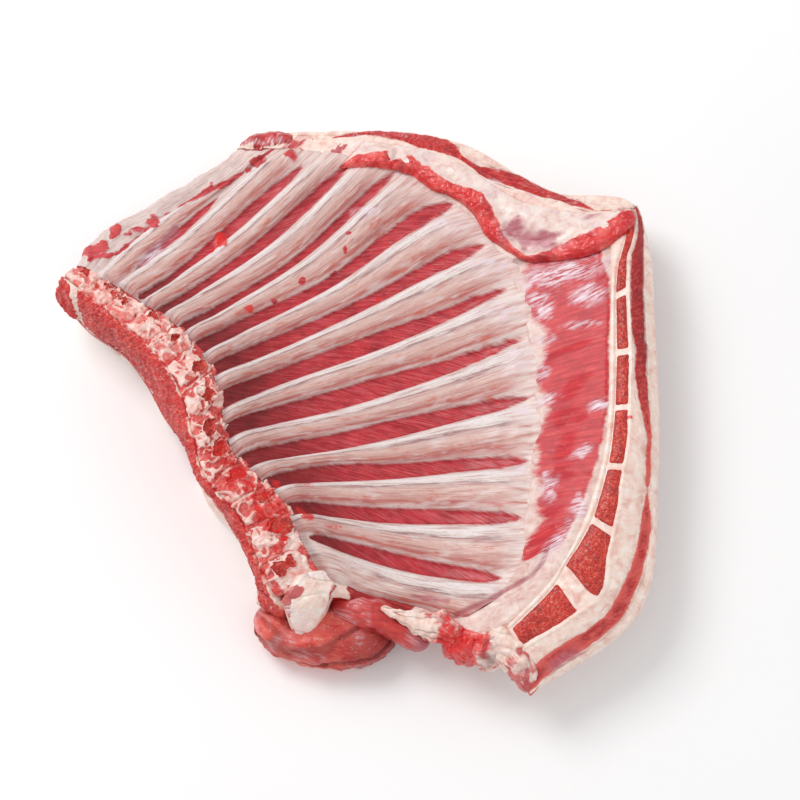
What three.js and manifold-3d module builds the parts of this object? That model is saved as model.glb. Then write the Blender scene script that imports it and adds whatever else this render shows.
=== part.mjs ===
// Raw side of lamb ribs: the half chest of a lamb, rack and breast in one piece, lying on its
// skin side with the hollow of the chest facing up. The split spine stands along the left, the
// split breastbone along the right, the neck end is at the front (-Y) and the flank at the back.
//
// Everything is laid out on one curved patch. The row number v counts the ribs, from the neck
// edge (v = 0) over rib 1 (v = 1) to the loin edge (v = 13.5). The lane number u crosses the
// side of ribs, from the back (u = -2) over the rib heads (u = 0) and the rib tips (u = 2) to
// the outer rim of the breast (u = 5).
import * as THREE from 'three';
import { mergeVertices } from 'three/addons/utils/BufferGeometryUtils.js';
import Module from 'manifold-3d';

const wasm = await Module();
wasm.setup();

// Driving dimensions, in millimetres and in rows of the patch.
const RIB_COUNT = 13;
const STERNEBRA_COUNT = 7;
const LAST_ROW = 13.5;
const SKIN_FAT = 5; // fat under the skin
const SKIN_FAT_SHARE = 0.22; // and its largest share of the whole thickness
const CHEST_WALL = 10; // ribs and the muscle between them
const CHEST_WALL_SHARE = 0.5;
const BRISKET_DEPTH = 13; // breastbone with the brisket fat under it
const BRISKET_SHARE = 0.6;
const BONE_DEPTH = 9; // a piece of the breastbone
const VERTEBRA_DEPTH = 16;
const DISC_DEPTH = 20; // cartilage under and between the vertebrae
const NECK_LIFT = 4; // the underside turns up at the neck and loin ends
const GAP = 0.4; // between neighbouring pieces
const LAYER_GAP = 0.6; // between two layers with different rows
const LANE_GAP = 0.6; // between two pieces side by side

// The guide rails run from the neck to the loin, each through one point per guide row.
const GUIDE_ROWS = [0, 1, 3, 5, 6, 7, 8, 9, 11, LAST_ROW];
const RAILS = [
  { u: -2, name: 'back of the loin', points: [
    [-68, -132, 30], [-69, -114, 30], [-90, -72, 24], [-109, -39, 22], [-123, -18, 22],
    [-135, -2, 22], [-148, 21, 23], [-163, 41, 24], [-190, 60, 28], [-211, 83, 38]] },
  { u: -1, name: 'outer edge of the split spine', points: [
    [-49, -143, 54], [-62, -121, 62], [-78, -84, 70], [-102, -55, 74], [-108, -33, 75],
    [-115, -9, 75], [-122, 8, 75], [-134, 26, 74], [-166, 55, 70], [-203, 88, 58]] },
  { u: 0, name: 'rib heads', points: [
    [-11, -131, 46], [-24, -110, 54], [-49, -65, 58], [-82, -30, 60], [-87, -10, 60],
    [-92, 13, 60], [-101, 32, 59], [-115, 49, 58], [-149, 75, 54], [-195, 104, 46]] },
  { u: 0.3, name: 'foot of the steep wall by the spine', points: [
    [2, -133, 38], [-5, -116, 42], [-31, -58, 40], [-61, -16, 40], [-66, 6, 40],
    [-73, 28, 40], [-83, 49, 40], [-96, 66, 40], [-132, 92, 38], [-185, 124, 36]] },
  { u: 1, name: 'middle of the ribs', points: [
    [30, -140, 32], [43, -127, 30], [33, -54, 25], [20, 7, 22], [9, 38, 22],
    [-3, 65, 22], [-23, 86, 22], [-44, 105, 22], [-92, 122, 25], [-152, 154, 28]] },
  { u: 2, name: 'rib tips', points: [
    [67, -157, 42], [92, -133, 45], [113, -54, 40], [118, 36, 35], [112, 75, 33],
    [100, 113, 31], [74, 148, 30], [37, 178, 29], [-20, 195, 28], [-91, 200, 26]] },
  { u: 3, name: 'inner edge of the breastbone and the flank', points: [
    [94, -154, 54], [127, -120, 57], [158, -55, 59], [170, 46, 57], [172, 91, 54],
    [170, 118, 50], [103, 151, 37], [49, 188, 31], [-16, 201, 27], [-87, 206, 24]] },
  { u: 4, name: 'outer edge of the breastbone', points: [
    [103, -169, 54], [144, -141, 60], [172, -57, 62], [183, 48, 60], [186, 99, 57],
    [184, 130, 51], [122, 156, 38], [58, 199, 29], [-13, 210, 24], [-82, 210, 22]] },
  { u: 5, name: 'outer rim', points: [
    [110, -194, 44], [182, -141, 48], [198, -51, 50], [201, 56, 50], [200, 112, 48],
    [190, 150, 43], [137, 163, 34], [67, 207, 25], [-10, 218, 20], [-77, 215, 20]] },
];
// How far the underside lies below the top at each rail; the null ones stand on the table.
const BODY_THICKNESS = [6, null, null, null, null, 20, 24, 22, 8];
// Lanes between which the outer breast muscle shows as a red stripe, one for each guide row.
const STRIPE_IN = [4.3, 4.6, 4.57, 4.1, 4.15, 3.95, 3.7, 3.6, 3.6, 3.6];
const STRIPE_OUT = [4.65, 4.8, 4.77, 4.5, 4.5, 4.5, 4.5, 4.5, 4.5, 4.5];
// The patch is straight between these rows, so pieces that meet have the same faces.
const BASE_ROWS = [0, 0.5, 1, 1.5, 2, 3, 4, 5, 6, 6.5, 7, 7.5, 8, 9, 10, 11, 12, 13, LAST_ROW];
const FLANK_START = 7.3; // the breast ends and the flank begins

// Cubic through the points, with slopes taken over the true distances between them.
function through(points, stations, t) {
  let i = 0;
  while (i < stations.length - 2 && t > stations[i + 1]) i += 1;
  const s = (t - stations[i]) / (stations[i + 1] - stations[i]);
  const gap = (k) => Math.hypot(...points[k].map((value, axis) => points[k + 1][axis] - value));
  const slope = (k, axis) => {
    const before = k > 0 ? (points[k][axis] - points[k - 1][axis]) / gap(k - 1) : null;
    const after = k < points.length - 1 ? (points[k + 1][axis] - points[k][axis]) / gap(k) : null;
    if (before === null) return after;
    if (after === null) return before;
    return (before * gap(k) + after * gap(k - 1)) / (gap(k) + gap(k - 1));
  };
  if (s < 0) return points[0].map((value, axis) => value + s * gap(0) * slope(0, axis));
  if (s > 1) {
    const last = points.length - 1;
    return points[last].map((value, axis) => value + (s - 1) * gap(last - 1) * slope(last, axis));
  }
  return points[i].map((from, axis) => {
    const to = points[i + 1][axis];
    const [a, b] = [slope(i, axis) * gap(i), slope(i + 1, axis) * gap(i)];
    return from * (2 * s ** 3 - 3 * s ** 2 + 1) + a * (s ** 3 - 2 * s ** 2 + s)
      + to * (3 * s ** 2 - 2 * s ** 3) + b * (s ** 3 - s ** 2);
  });
}

// One row of the patch: the place and height of every rail, and of the underside below it.
const rowCache = new Map();
function railsAt(v) {
  if (!rowCache.has(v)) {
    const lift = NECK_LIFT * Math.max(0, 1 - v / 0.6, (v - LAST_ROW + 0.6) / 0.6);
    const top = RAILS.map((rail) => through(rail.points, GUIDE_ROWS, v));
    const under = top.map(([x, y, z], i) => {
      const thickness = BODY_THICKNESS[i];
      return [x, y, (thickness === null ? 0 : z - thickness) + lift];
    });
    rowCache.set(v, { top, under });
  }
  return rowCache.get(v);
}

// A place on a row: where it lies, the height of the top and the height of the underside.
function place(u, v) {
  const stations = RAILS.map((rail) => rail.u);
  const row = railsAt(v);
  const [x, y, surface] = through(row.top, stations, u);
  const floor = Math.max(0, through(row.under, stations, u)[2]);
  return { x, y, surface, floor, thickness: surface - floor };
}

// Levels: each gives a height from a place.
const surface = (p) => p.surface;
const underside = (p) => p.floor;
const skinFatTop = (p) => p.floor + Math.min(SKIN_FAT, SKIN_FAT_SHARE * p.thickness);
const chestWallFoot = (p) => p.surface - Math.min(CHEST_WALL, CHEST_WALL_SHARE * p.thickness);
const brisketFoot = (p) => p.surface - Math.min(BRISKET_DEPTH, BRISKET_SHARE * p.thickness);
const below = (depth) => (p) => p.surface - depth;
const raised = (level, by) => (p) => level(p) + by;

// Lanes that move sideways from row to row.
const guide = (values) => (v) => {
  let i = 0;
  while (i < GUIDE_ROWS.length - 2 && v > GUIDE_ROWS[i + 1]) i += 1;
  const f = (v - GUIDE_ROWS[i]) / (GUIDE_ROWS[i + 1] - GUIDE_ROWS[i]);
  return values[i] + f * (values[i + 1] - values[i]);
};
const stripeIn = guide(STRIPE_IN);
const stripeOut = guide(STRIPE_OUT);
function beside(lane, millimetres) {
  return (v) => {
    const u = lane(v);
    const [a, b] = [place(u - 0.05, v), place(u + 0.05, v)];
    return u + (millimetres * 0.1) / Math.hypot(b.x - a.x, b.y - a.y);
  };
}

// A vertex on a lane and at any row; between two base rows it lies on the straight line.
function vertex(lane, v, level) {
  let i = 0;
  while (i < BASE_ROWS.length - 2 && v > BASE_ROWS[i + 1]) i += 1;
  const [v0, v1] = [BASE_ROWS[i], BASE_ROWS[i + 1]];
  const f = (v - v0) / (v1 - v0);
  const [a, b] = [v0, v1].map((row) => {
    const p = place(typeof lane === 'number' ? lane : lane(row), row);
    return [p.x, p.y, level(p)];
  });
  return a.map((value, axis) => value + f * (b[axis] - value));
}

function closedMesh(name, finish, vertices, triangles) {
  const geometry = new THREE.BufferGeometry();
  geometry.setAttribute('position', new THREE.Float32BufferAttribute(vertices.flat(), 3));
  geometry.setIndex(triangles.flat());
  geometry.computeVertexNormals();
  const mesh = new THREE.Mesh(geometry, finish);
  mesh.name = name;
  return mesh;
}

// A slab between two levels over a grid of lanes and rows. Each lane has its own top and
// bottom level; relief(laneIndex, v) raises the top.
function slab(name, finish, lanes, rows, relief = () => 0) {
  const [across, along] = [lanes.length, rows.length];
  const grid = (side) => rows.flatMap((v) => lanes.map((lane, i) => {
    const point = vertex(lane.u, v, lane[side]);
    if (side === 'top') point[2] += relief(i, v);
    return point;
  }));
  const vertices = [...grid('top'), ...grid('bottom')];
  const top = (i, j) => j * across + i;
  const bottom = (i, j) => along * across + top(i, j);
  const triangles = [];
  const quad = (a, b, c, d) => triangles.push([a, b, c], [a, c, d]);
  for (let j = 0; j < along - 1; j += 1) {
    for (let i = 0; i < across - 1; i += 1) {
      quad(top(i, j), top(i + 1, j), top(i + 1, j + 1), top(i, j + 1));
      triangles.push([bottom(i, j), bottom(i + 1, j + 1), bottom(i + 1, j)]);
      triangles.push([bottom(i, j), bottom(i, j + 1), bottom(i + 1, j + 1)]);
    }
    quad(top(0, j), top(0, j + 1), bottom(0, j + 1), bottom(0, j));
    const i = across - 1;
    quad(bottom(i, j), bottom(i, j + 1), top(i, j + 1), top(i, j));
  }
  for (let i = 0; i < across - 1; i += 1) {
    quad(bottom(i, 0), bottom(i + 1, 0), top(i + 1, 0), top(i, 0));
    const j = along - 1;
    quad(top(i, j), top(i + 1, j), bottom(i + 1, j), bottom(i, j));
  }
  return closedMesh(name, finish, vertices, triangles);
}

// A closed body over rings of vertices, each ring with the same number of them.
function loft(name, finish, rings) {
  const size = rings[0].length;
  const triangles = [];
  for (let r = 0; r < rings.length - 1; r += 1) {
    for (let i = 0; i < size; i += 1) {
      const [a, b] = [r * size + i, r * size + ((i + 1) % size)];
      triangles.push([a, b, b + size], [a, b + size, a + size]);
    }
  }
  const last = (rings.length - 1) * size;
  for (let i = 1; i < size - 1; i += 1) {
    triangles.push([0, i + 1, i], [last, last + i, last + i + 1]);
  }
  return closedMesh(name, finish, rings.flat(), triangles);
}

// Base rows from one row to another, with the two ends.
const rowsBetween = (from, to) => [from, ...BASE_ROWS.filter((v) => v > from && v < to), to];
const laneSet = (us, top, bottom) => us.map((u) => ({ u, top, bottom }));
const range = (count) => [...Array(count).keys()];

const finish = (color, roughness) => new THREE.MeshStandardMaterial({ color, roughness, metalness: 0 });
const FINISHES = {
  fat: finish('#efdccb', 0.45),
  redMuscle: finish('#b4303a', 0.4),
  darkMuscle: finish('#8d2a35', 0.4),
  ribBone: finish('#e3cbb9', 0.4),
  marrow: finish('#b5342c', 0.5),
  cartilage: finish('#eadfd6', 0.35),
  lining: finish('#cf4650', 0.35),
};

// Lanes along which the ribs, the chest wall and the muscle below it share their vertices.
const RIB_LANES = [0.05, 0.3, 0.65, 1, 1.35, 1.7];
const HEAD_LANE = -0.1;
const TIP_LANE = 1.98;
const SPLIT_LANE = 0.3; // the loin muscle ends and the breast muscle begins
const [LINING_IN, LINING_OUT] = [2.02, 2.95];
const [STERNUM_IN, STERNUM_OUT] = [2.98, 3.1];
const BONE_IN = 3.16;

function fatCover() {
  const foot = (us) => laneSet(us, skinFatTop, underside);
  const rim = (us) => laneSet(us, surface, underside);
  return slab('fat_cover', FINISHES.fat, [
    ...rim([-2, -1.92, -1.82]),
    ...foot([-1.79, -1.76, -1.5, -1.25, -1.04, -0.35, SPLIT_LANE, 0.65, 1, 1.35, 1.7, TIP_LANE, 2.5, LINING_OUT,
      3.12, 3.5, stripeIn, stripeOut, beside(stripeOut, LANE_GAP)]),
    ...rim([beside(stripeOut, 2 * LANE_GAP), 4.92, 5]),
  ], BASE_ROWS);
}

function loinMuscle() {
  const bottom = raised(skinFatTop, GAP);
  const underSpine = below(DISC_DEPTH + GAP);
  const underWall = raised(chestWallFoot, -LAYER_GAP);
  return slab('loin_muscle', FINISHES.redMuscle, [
    ...laneSet([-1.76, -1.5, -1.25, -1.04], surface, bottom),
    ...laneSet([-1.01, -0.75, -0.35, HEAD_LANE - 0.02], underSpine, bottom),
    ...laneSet([HEAD_LANE, 0.05, SPLIT_LANE - 0.003], underWall, bottom),
  ], BASE_ROWS);
}

function breastMuscle() {
  const bottom = raised(skinFatTop, GAP);
  const underWall = raised(chestWallFoot, -LAYER_GAP);
  const underBone = raised(brisketFoot, -LAYER_GAP);
  return slab('breast_muscle', FINISHES.redMuscle, [
    ...laneSet([SPLIT_LANE + 0.003, 0.65, 1, 1.35, 1.7, TIP_LANE, 2.5, LINING_OUT], underWall, bottom),
    ...laneSet([3.12, 3.5, beside(stripeIn, -LANE_GAP)], underBone, bottom),
    ...laneSet([stripeIn, stripeOut], surface, bottom),
  ], BASE_ROWS);
}

// The vertebrae and the cartilage that fills the gaps between them.
const SPINE_LANES = [-0.95, -0.75, -0.35, -0.16];
const VERTEBRA_HALF = 0.42;

function spineCartilage() {
  const wall = VERTEBRA_HALF + 0.025;
  const crest = VERTEBRA_HALF + 0.04;
  const rows = range(RIB_COUNT).flatMap((i) => {
    const k = i + 1;
    const next = k < RIB_COUNT ? [k + crest, k + 1 - crest] : [];
    return [k - wall, k, k + wall, ...next];
  });
  const ridge = (i, v) => (Math.abs(v - Math.round(v)) > wall + 0.005 ? DISC_DEPTH - 4.6 : 0);
  const us = [-0.99, -0.75, -0.35, -0.13];
  return slab('spine_cartilage', FINISHES.cartilage,
    laneSet(us, below(VERTEBRA_DEPTH + GAP), below(DISC_DEPTH)), rows, ridge);
}

function vertebra(k) {
  const rows = [-VERTEBRA_HALF, -0.2, 0, 0.2, VERTEBRA_HALF].map((step) => k + step);
  const dome = (i, v) => {
    const along = 1 - ((v - k) / VERTEBRA_HALF) ** 2;
    return i === 0 || i === SPINE_LANES.length - 1 ? -1.5 + along : 0.3 + 2.2 * along;
  };
  const name = `vertebra_${String(k).padStart(2, '0')}`;
  return slab(name, FINISHES.marrow, laneSet(SPINE_LANES, surface, below(VERTEBRA_DEPTH)), rows, dome);
}

// The muscle sheet between the ribs, with a groove for each rib.
const GROOVE = { edge: 0.27, foot: 0.14, edgeDepth: 1, depth: 6.9 };

function chestWall() {
  const rows = [0.45];
  for (let k = 1; k <= RIB_COUNT; k += 1) {
    rows.push(k - GROOVE.edge, k - GROOVE.foot, k, k + GROOVE.foot, k + GROOVE.edge);
    rows.push(k < RIB_COUNT ? k + 0.5 : k + 0.4);
  }
  const groove = (i, v) => {
    const step = Math.abs(v - Math.round(v));
    if (step < GROOVE.foot + 0.01) return -GROOVE.depth;
    return step < GROOVE.edge + 0.01 ? -GROOVE.edgeDepth : -1.5;
  };
  return slab('chest_wall', FINISHES.darkMuscle,
    laneSet([HEAD_LANE, ...RIB_LANES, TIP_LANE], surface, chestWallFoot), rows, groove);
}

// One rib: a flat oval bar that lies in its groove and stands a little proud of the muscle.
const END_SHARE = 0.12; // of the last stretch is left free at each end
const RIB_SECTION = [[-0.24, -2], [-0.13, -6.5], [0.13, -6.5], [0.24, -2], [0.13, 0.6], [0, 1.5], [-0.13, 0.6]];

function rib(k) {
  const ring = (lane) => RIB_SECTION
    .map(([step, rise]) => vertex(lane, k + step, raised(surface, rise)));
  const nearly = (end, lane) => ring(end).map((point, i) => point
    .map((value, axis) => value + END_SHARE * (ring(lane)[i][axis] - value)));
  const rings = [
    nearly(HEAD_LANE, RIB_LANES[0]), ...RIB_LANES.map(ring), nearly(TIP_LANE, RIB_LANES[RIB_LANES.length - 1]),
  ];
  return loft(`rib_${String(k).padStart(2, '0')}`, FINISHES.ribBone, rings);
}

function breastLining() {
  return slab('breast_lining', FINISHES.lining,
    laneSet([LINING_IN, 2.5, LINING_OUT - 0.01], surface, chestWallFoot),
    rowsBetween(0.45, FLANK_START - 0.03));
}

function sternumCartilage() {
  return slab('sternum_cartilage', FINISHES.cartilage,
    laneSet([STERNUM_IN, STERNUM_OUT], raised(surface, 0.5), chestWallFoot),
    rowsBetween(0.1, FLANK_START - 0.03));
}

// The split breastbone is a row of bones; the brisket fat runs under, between and beside them.
const BONE_GAP = 0.1; // rows
const BONE_ENDS = [0.15, 1.15, 2.33, 3.16, 3.88, 4.7, 5.6, 6.95];
const BONE_ROWS = range(STERNEBRA_COUNT).map((i) => [BONE_ENDS[i], BONE_ENDS[i + 1] - BONE_GAP]);
const boneOut = (v) => Math.min(3.75, stripeIn(v) - 0.3);

function sternebra(i) {
  const [from, to] = BONE_ROWS[i];
  const middle = (lane) => (v) => BONE_IN + lane * (boneOut(v) - BONE_IN);
  const rows = [from, from + 0.12, ...BASE_ROWS.filter((v) => v > from + 0.13 && v < to - 0.13), to - 0.12, to];
  const crown = (lane, v) => (lane === 0 || lane === 2 ? 0 : 0.8) - (v === from || v === to ? 0.6 : 0);
  return slab(`sternebra_${i + 1}`, FINISHES.marrow,
    laneSet([middle(0), middle(0.5), middle(1)], surface, below(BONE_DEPTH)), rows, crown);
}

function brisketFat() {
  const ends = BONE_ROWS.flatMap(([from, to]) => [from - 0.035, from - 0.02, to + 0.02, to + 0.035]);
  const rows = [...new Set([...rowsBetween(0, FLANK_START - 0.03), ...ends])]
    .filter((v) => v >= 0 && v <= FLANK_START - 0.03).sort((a, b) => a - b);
  const underBone = (v) => BONE_ROWS.some(([from, to]) => v > from - 0.03 && v < to + 0.03);
  const depth = BONE_DEPTH + LAYER_GAP;
  const relief = (lane, v) => (lane < 3 && underBone(v) ? -depth : 0);
  const outside = (v) => boneOut(v) + 0.02;
  const shoulder = (v) => boneOut(v) + 0.06;
  return slab('brisket_fat', FINISHES.fat, laneSet([
    BONE_IN - 0.03, (v) => (BONE_IN + boneOut(v)) / 2, outside, shoulder, beside(stripeIn, -2 * LANE_GAP),
  ], surface, brisketFoot), rows, relief);
}

function flankFat() {
  return slab('flank_fat', FINISHES.fat, [
    ...laneSet([LINING_IN, 2.5, LINING_OUT], surface, chestWallFoot),
    ...laneSet([3.12, beside(stripeIn, -2 * LANE_GAP)], surface, brisketFoot),
  ], rowsBetween(FLANK_START, LAST_ROW));
}

// The cut edge of the diaphragm lies folded over the flank, from rib 6 to rib 10.
function diaphragm() {
  const inner = (v) => 2.1 + 0.12 * Math.sin(7 * v);
  const rows = [6.7, 6.9, 7, 7.3, 7.5, 7.8, 8, 8.5, 9, 9.6, 10, 10.6];
  const [start, end] = [rows[0], rows[rows.length - 1]];
  const swell = (i, v) => {
    const along = Math.min(1, (v - start) / 0.4, (end - v) / 0.8);
    return (i === 0 ? 5 : i === 1 ? 8.5 : i === 2 ? 6 : 2) * (0.35 + 0.65 * along);
  };
  return slab('diaphragm', FINISHES.redMuscle,
    laneSet([inner, 2.35, 2.8, 3.4], raised(surface, 1.2), raised(surface, 1)), rows, swell);
}

function flankLobe() {
  const rows = [12.7, 12.9, 13.2, 13.45];
  const swell = (i, v) => (i === 0 || i === 3 ? 1.5 : 5) * (v === rows[0] ? 0.4 : 1);
  return slab('flank_lobe', FINISHES.darkMuscle,
    laneSet([2.6, 3.2, 4.1, 4.8], raised(surface, 1.2), raised(surface, 1)), rows, swell);
}

function neckFat() {
  const swell = (i, v) => (i === 1 || i === 2 ? 3 : 0.5) * (v === 0 ? 0.4 : 1);
  return slab('neck_fat', FINISHES.fat,
    laneSet(SPINE_LANES, surface, below(DISC_DEPTH)), [0, 0.2, 0.38, 0.53], swell);
}

function neckWedge() {
  return slab('neck_wedge_muscle', FINISHES.darkMuscle,
    laneSet([HEAD_LANE, ...RIB_LANES, TIP_LANE], below(1.5), chestWallFoot), [0, 0.2, 0.42]);
}

// The trimmed muscles at the neck end are soft rolls along short paths, cut back where they
// touch the side of ribs or an earlier roll.
const ROLL_SIDES = 10;
const ROLL_STEPS = 7;

function roll(name, material, path, { wide, high }, grow = 0) {
  const stations = path.map((point, i) => i);
  const last = path.length - 1;
  const rings = range(ROLL_STEPS).map((step) => {
    const t = (last * step) / (ROLL_STEPS - 1);
    const centre = through(path, stations, t);
    const ahead = through(path, stations, t + 0.05);
    const heading = Math.atan2(ahead[1] - centre[1], ahead[0] - centre[0]);
    const swell = Math.sqrt(1 - 0.8 * ((2 * t) / last - 1) ** 4) * (1 + 0.08 * Math.sin(3 * step));
    return range(ROLL_SIDES).map((side) => {
      const angle = (-2 * Math.PI * side) / ROLL_SIDES;
      const reach = (wide * swell + grow) * Math.cos(angle);
      const rise = (high * swell + grow) * Math.sin(angle);
      const x = centre[0] + Math.sin(heading) * reach;
      const y = centre[1] - Math.cos(heading) * reach;
      return [x, y, Math.max(grow ? -1 : 0, centre[2] + rise)];
    });
  });
  return loft(name, material, rings);
}

const NECK_ROLLS = [
  { name: 'neck_muscle', material: 'redMuscle', size: { wide: 15, high: 14 },
    path: [[-66, -134, 15], [-42, -150, 14], [-8, -156, 13], [22, -150, 12]] },
  { name: 'neck_roll', material: 'darkMuscle', size: { wide: 9, high: 10 },
    path: [[-6, -139, 31], [20, -146, 28], [46, -158, 24]] },
  { name: 'neck_trim', material: 'fat', size: { wide: 7, high: 7 },
    path: [[24, -142, 42], [46, -152, 43], [68, -163, 42]] },
  { name: 'breast_tip_muscle', material: 'redMuscle', size: { wide: 9, high: 12 },
    path: [[58, -158, 30], [76, -166, 36], [94, -176, 38]] },
  { name: 'breast_tip_fat', material: 'fat', size: { wide: 8, high: 9 },
    path: [[86, -172, 44], [98, -184, 42], [107, -195, 40]] },
];

function toSolid(mesh) {
  const geometry = mesh.geometry.clone();
  ['normal', 'uv'].forEach((attribute) => geometry.deleteAttribute(attribute));
  const merged = mergeVertices(geometry, 1e-4);
  return new wasm.Manifold(new wasm.Mesh({
    numProp: 3,
    vertProperties: new Float32Array(merged.attributes.position.array),
    triVerts: new Uint32Array(merged.index.array),
  }));
}

function fromSolid(name, material, solid) {
  const { vertProperties, triVerts } = solid.getMesh();
  const vertices = [...vertProperties];
  return closedMesh(name, material, vertices, [...triVerts]);
}

function neckRolls() {
  const envelope = slab('envelope', FINISHES.fat,
    laneSet([-2.03, -1.92, -1.76, -1.5, -1.25, -1.04, ...SPINE_LANES, HEAD_LANE, ...RIB_LANES, TIP_LANE,
      2.5, LINING_OUT, 3.12, 3.5, stripeIn, stripeOut, 4.92, 5.04],
    raised(surface, 3.5), raised(underside, -1.5)), [-0.03, 0, 0.5, 1, 1.5, 2, 3]);
  let taken = toSolid(envelope);
  return NECK_ROLLS.map(({ name, material, path, size }) => {
    const bare = toSolid(roll(name, FINISHES[material], path, size)).subtract(taken);
    taken = taken.add(toSolid(roll(name, FINISHES[material], path, size, GAP)));
    const pieces = bare.decompose().sort((a, b) => b.volume() - a.volume());
    return fromSolid(name, FINISHES[material], pieces[0]);
  });
}

const group = new THREE.Group();
group.add(
  fatCover(), loinMuscle(), breastMuscle(), spineCartilage(), chestWall(), breastLining(),
  sternumCartilage(), brisketFat(), flankFat(), diaphragm(), flankLobe(), neckFat(), neckWedge(),
  ...range(RIB_COUNT).map((i) => vertebra(i + 1)),
  ...range(RIB_COUNT).map((i) => rib(i + 1)),
  ...range(STERNEBRA_COUNT).map((i) => sternebra(i)),
  ...neckRolls(),
);

// The origin is at the middle of the foot of the whole.
const whole = new THREE.Box3().setFromObject(group);
const middle = whole.getCenter(new THREE.Vector3());
group.position.set(-middle.x, -middle.y, -whole.min.z);

export default group;
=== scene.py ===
"""Looks of a raw side of lamb ribs: rack and breast in one piece, hollow side up.

Every piece is a surface over one curved patch. A row counts the ribs, from the neck edge (0) over
rib 1 (1) to the loin edge (13.5). A lane crosses the side, from the back (-2) over the rib heads
(0) and the rib tips (2) to the outer rim of the breast (5). Sizes are millimetres in the part's
own frame, and become metres in the row frame when a mesh is made.
"""
import itertools
import logging
import math
from dataclasses import dataclass
from enum import Enum
from typing import Callable, Iterable, Optional, Sequence, Union

import bpy
import numpy as np
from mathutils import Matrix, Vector


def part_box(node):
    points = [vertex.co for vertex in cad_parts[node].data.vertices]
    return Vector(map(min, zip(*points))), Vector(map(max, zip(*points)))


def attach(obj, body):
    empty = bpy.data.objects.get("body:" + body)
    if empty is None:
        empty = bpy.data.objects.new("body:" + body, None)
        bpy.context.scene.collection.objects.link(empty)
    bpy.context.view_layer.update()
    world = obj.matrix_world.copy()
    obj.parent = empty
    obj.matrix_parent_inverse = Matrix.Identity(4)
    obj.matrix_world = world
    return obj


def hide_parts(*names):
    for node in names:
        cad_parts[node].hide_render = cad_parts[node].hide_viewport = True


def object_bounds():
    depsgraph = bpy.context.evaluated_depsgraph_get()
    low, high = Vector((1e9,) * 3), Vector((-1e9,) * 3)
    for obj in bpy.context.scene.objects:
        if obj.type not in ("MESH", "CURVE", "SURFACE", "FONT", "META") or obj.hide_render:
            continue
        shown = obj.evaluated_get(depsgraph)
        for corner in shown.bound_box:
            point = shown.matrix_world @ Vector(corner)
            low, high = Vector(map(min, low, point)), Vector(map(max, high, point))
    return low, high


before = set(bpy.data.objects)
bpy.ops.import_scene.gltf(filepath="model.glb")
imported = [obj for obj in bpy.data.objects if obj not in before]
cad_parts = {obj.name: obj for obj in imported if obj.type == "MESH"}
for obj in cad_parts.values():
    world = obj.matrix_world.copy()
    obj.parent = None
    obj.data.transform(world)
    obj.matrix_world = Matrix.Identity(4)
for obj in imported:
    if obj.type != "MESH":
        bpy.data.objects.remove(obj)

CAD_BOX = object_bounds()
LOG = logging.getLogger("side_of_ribs")
METRES = 0.001
BODY = "root"
LAST_ROW = 13.5
ROW_MM = 25.0  # nominal distance from rib to rib, for the grain of the tissue
CENTIMETRE = 10.0  # the grain map is laid out in centimetres
ALL_FAT = -9.0  # flesh mark of a place with no muscle near it
FAR = -99.0  # distance into a mark where there is none yet
Array = np.ndarray
Run = Callable[[Array], Array]
Lane = Union[float, Run]
Marks = dict[str, Array]
Size = Union[float, tuple[float, float]]
Piece = bpy.types.Object
Socket = bpy.types.NodeSocket


class Side(Enum):
    """Edges of a sheet."""

    INNER = 0
    OUTER = 1
    FIRST = 2
    LAST = 3


class Space(Enum):
    """Coordinates that a pattern is laid out in."""

    OBJECT = "object"
    GRAIN = "grain"


# ---- small mathematics


def smooth(value: Array, low: float, high: float) -> Array:
    """Smooth step: 0 below low, 1 above high, and 3t^2 - 2t^3 between them.

    Args:
        value: Numbers to map.
        low: Where the step starts.
        high: Where it ends; below low for a falling step.

    Returns:
        Numbers from 0 to 1.
    """
    t = np.clip((value - low) / (high - low), 0.0, 1.0)
    return t * t * (3.0 - 2.0 * t)


def bell(value: Array, width: float) -> Array:
    """Bell curve exp(-(value / width)^2)."""
    return np.exp(-((value / width) ** 2))


def lattice(cells: Array, seed: int) -> Array:
    """Random number from 0 to 1 for each lattice cell, by mixing its three indices and the seed.

    Args:
        cells: Whole numbers, shape (..., 3).
        seed: Chooses the field.

    Returns:
        Numbers of shape (...).
    """
    mixed = cells[..., 0] * 374761393 + cells[..., 1] * 668265263 + cells[..., 2] * 1440662683
    mixed = (mixed + seed * 974634777) & 0xFFFFFFFF
    mixed = ((mixed ^ (mixed >> 13)) * 1274126177) & 0xFFFFFFFF
    return ((mixed ^ (mixed >> 16)) & 0xFFFF) / 65535.0


def value_noise(points: Array, seed: int) -> Array:
    """Value noise: random lattice numbers, blended by smooth steps along each axis.

    Args:
        points: Places in cells, shape (..., 3).
        seed: Chooses the field.

    Returns:
        Numbers from -1 to 1.
    """
    base = np.floor(points).astype(np.int64)
    inside = points - base
    ease = inside * inside * (3.0 - 2.0 * inside)
    total = np.zeros(points.shape[:-1])
    for corner in itertools.product((0, 1), repeat=3):
        share = np.prod(np.where(np.array(corner) == 1, ease, 1.0 - ease), axis=-1)
        total += share * lattice(base + np.array(corner), seed)
    return 2.0 * total - 1.0


def fractal(points: Array, size: float, seed: int, octaves: int = 3) -> Array:
    """Sum of value noises, each half as large and half as strong as the one before.

    Args:
        points: Places in millimetres, shape (..., 3).
        size: Cell size of the first octave.
        seed: Chooses the field.
        octaves: How many are summed.

    Returns:
        Numbers from about -1 to 1.
    """
    total = np.zeros(points.shape[:-1])
    for octave in range(octaves):
        total += value_noise(points * (2.0**octave / size), seed + 17 * octave) / 2.0**octave
    return total / 1.5


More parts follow.
